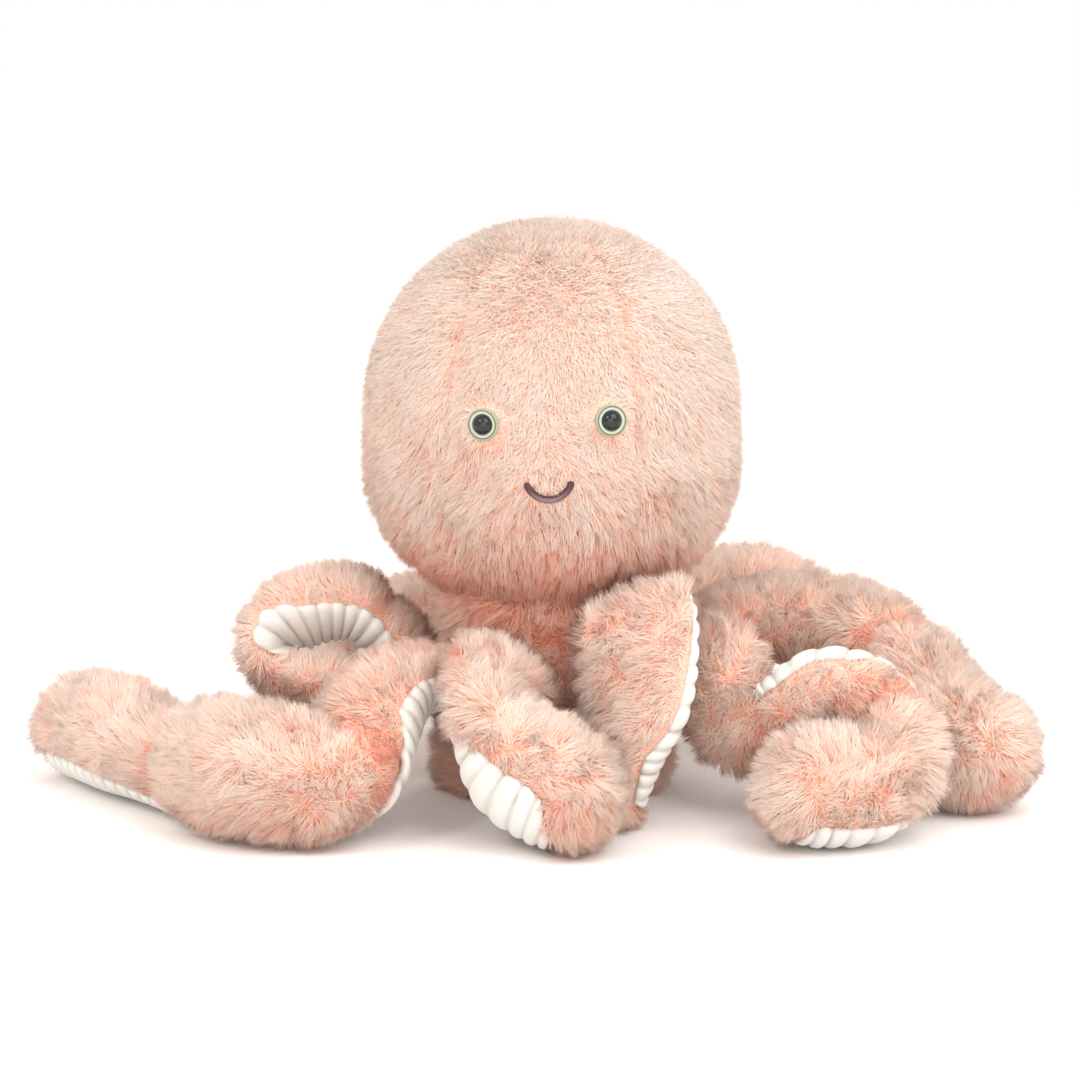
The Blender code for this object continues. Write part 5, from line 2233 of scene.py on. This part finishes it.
@dataclass(frozen=True)
class Lamp:
    """A soft square lamp: its side in metres, and its power in watts."""

    name: str
    place: Way
    size: float
    power: float

    def hang(self, target: Vector) -> None:
        """Hang the lamp so that it looks at a point.

        Args:
            target: the point.
        """
        data = bpy.data.lights.new(self.name, "AREA")
        data.size = self.size
        data.energy = self.power
        lamp = placed(self.name, data)
        lamp.location = self.place
        lamp.rotation_euler = (target - Vector(self.place)).to_track_quat("-Z", "Y").to_euler()


@dataclass
class Studio:
    """A pale floor and soft lights, with the camera at the photograph's angle.

    Attributes:
        target: the point that the camera and the lamps look at.
        metres_per_pixel: how much of the toy one pixel shows, at the target.
    """

    elevation: float = math.radians(10.0)
    distance: float = 1.2
    target: Way = (-0.0046, 0.0, 0.094)
    picture_size: float = 1080.0
    metres_per_pixel: float = 0.38 * MM
    sensor: float = 36.0
    floor_size: float = 6.0
    floor_roughness: float = 0.9
    world_strength: float = 1.24
    world_tint: Rgb = (1.0, 0.93, 0.885)
    lamps: tuple[Lamp, ...] = (
        Lamp("key", (0.8, -1.1, 1.5), 1.4, 16.5),
        Lamp("fill", (-0.87, -0.96, 1.2), 0.36, 4.5),
        Lamp("low", (0.0, -1.6, 0.15), 1.4, 8.8),
    )

    def build(self) -> None:
        """Build the studio."""
        self.camera()
        self.floor()
        self.world()
        for lamp in self.lamps:
            lamp.hang(Vector(self.target))
        bpy.context.scene.view_settings.view_transform = "Standard"

    def camera(self) -> None:
        """Place the camera."""
        data = bpy.data.cameras.new("camera")
        data.sensor_width = self.sensor
        data.lens = self.sensor * self.distance / (self.picture_size * self.metres_per_pixel)
        camera = placed("camera", data)
        back = Vector((0, -math.cos(self.elevation), math.sin(self.elevation)))
        camera.location = Vector(self.target) + back * self.distance
        camera.rotation_euler = (-back).to_track_quat("-Z", "Y").to_euler()
        bpy.context.scene.camera = camera

    def floor(self) -> None:
        """Lay the floor, which is seen a little paler than it lights the toy."""
        work = bmesh.new()
        bmesh.ops.create_grid(work, x_segments=1, y_segments=1, size=self.floor_size / 2)
        floor = placed("floor", mesh_of(work, "floor"))
        board = Board("pale_floor", self.floor_roughness, Specular_IOR_Level=0.0)
        seen = shown_rays(board.material.node_tree)
        tint = board.ramp(seen, ((0.0, FLOOR_GREY), (1.0, FLOOR_BLUSH)))
        floor.data.materials.append(board.colour(tint))

    def world(self) -> None:
        """Light the scene from all round, with a white background."""
        world = bpy.data.worlds.new("studio")
        world.use_nodes = True
        bpy.context.scene.world = world
        nodes, links = world.node_tree.nodes, world.node_tree.links
        light, shown = nodes["Background"], nodes.new("ShaderNodeBackground")
        for surface, strength, colour in (
            (light, self.world_strength, self.world_tint), (shown, 1.0, WHITE),
        ):
            surface.inputs["Strength"].default_value = strength
            surface.inputs["Color"].default_value = (*colour, 1.0)
        mix = nodes.new("ShaderNodeMixShader")
        links.new(shown_rays(world.node_tree), mix.inputs["Fac"])
        links.new(light.outputs["Background"], mix.inputs[1])
        links.new(shown.outputs["Background"], mix.inputs[2])
        links.new(mix.outputs["Shader"], nodes["World Output"].inputs["Surface"])


def corners(box: tuple[Vector, Vector]) -> list[list[float]]:
    """Return a box's corners as plain lists."""
    return [list(box[0]), list(box[1])]


def main() -> None:
    """Build the studio and the toy."""
    logging.basicConfig(level=logging.INFO, format="%(message)s")
    for item in list(bpy.data.objects):
        bpy.data.objects.remove(item)
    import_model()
    Studio().build()
    finishes = Finishes.make()
    pile = Pile()
    Head().build(pile, finishes)
    skirt = Skirt()
    skirt.build(pile, finishes)
    for number, word in enumerate(ARM_ROUTE_SHARES):
        Arm(ArmForm(word, number, skirt.form)).build(pile, finishes)


if __name__ == "__main__":
    main()
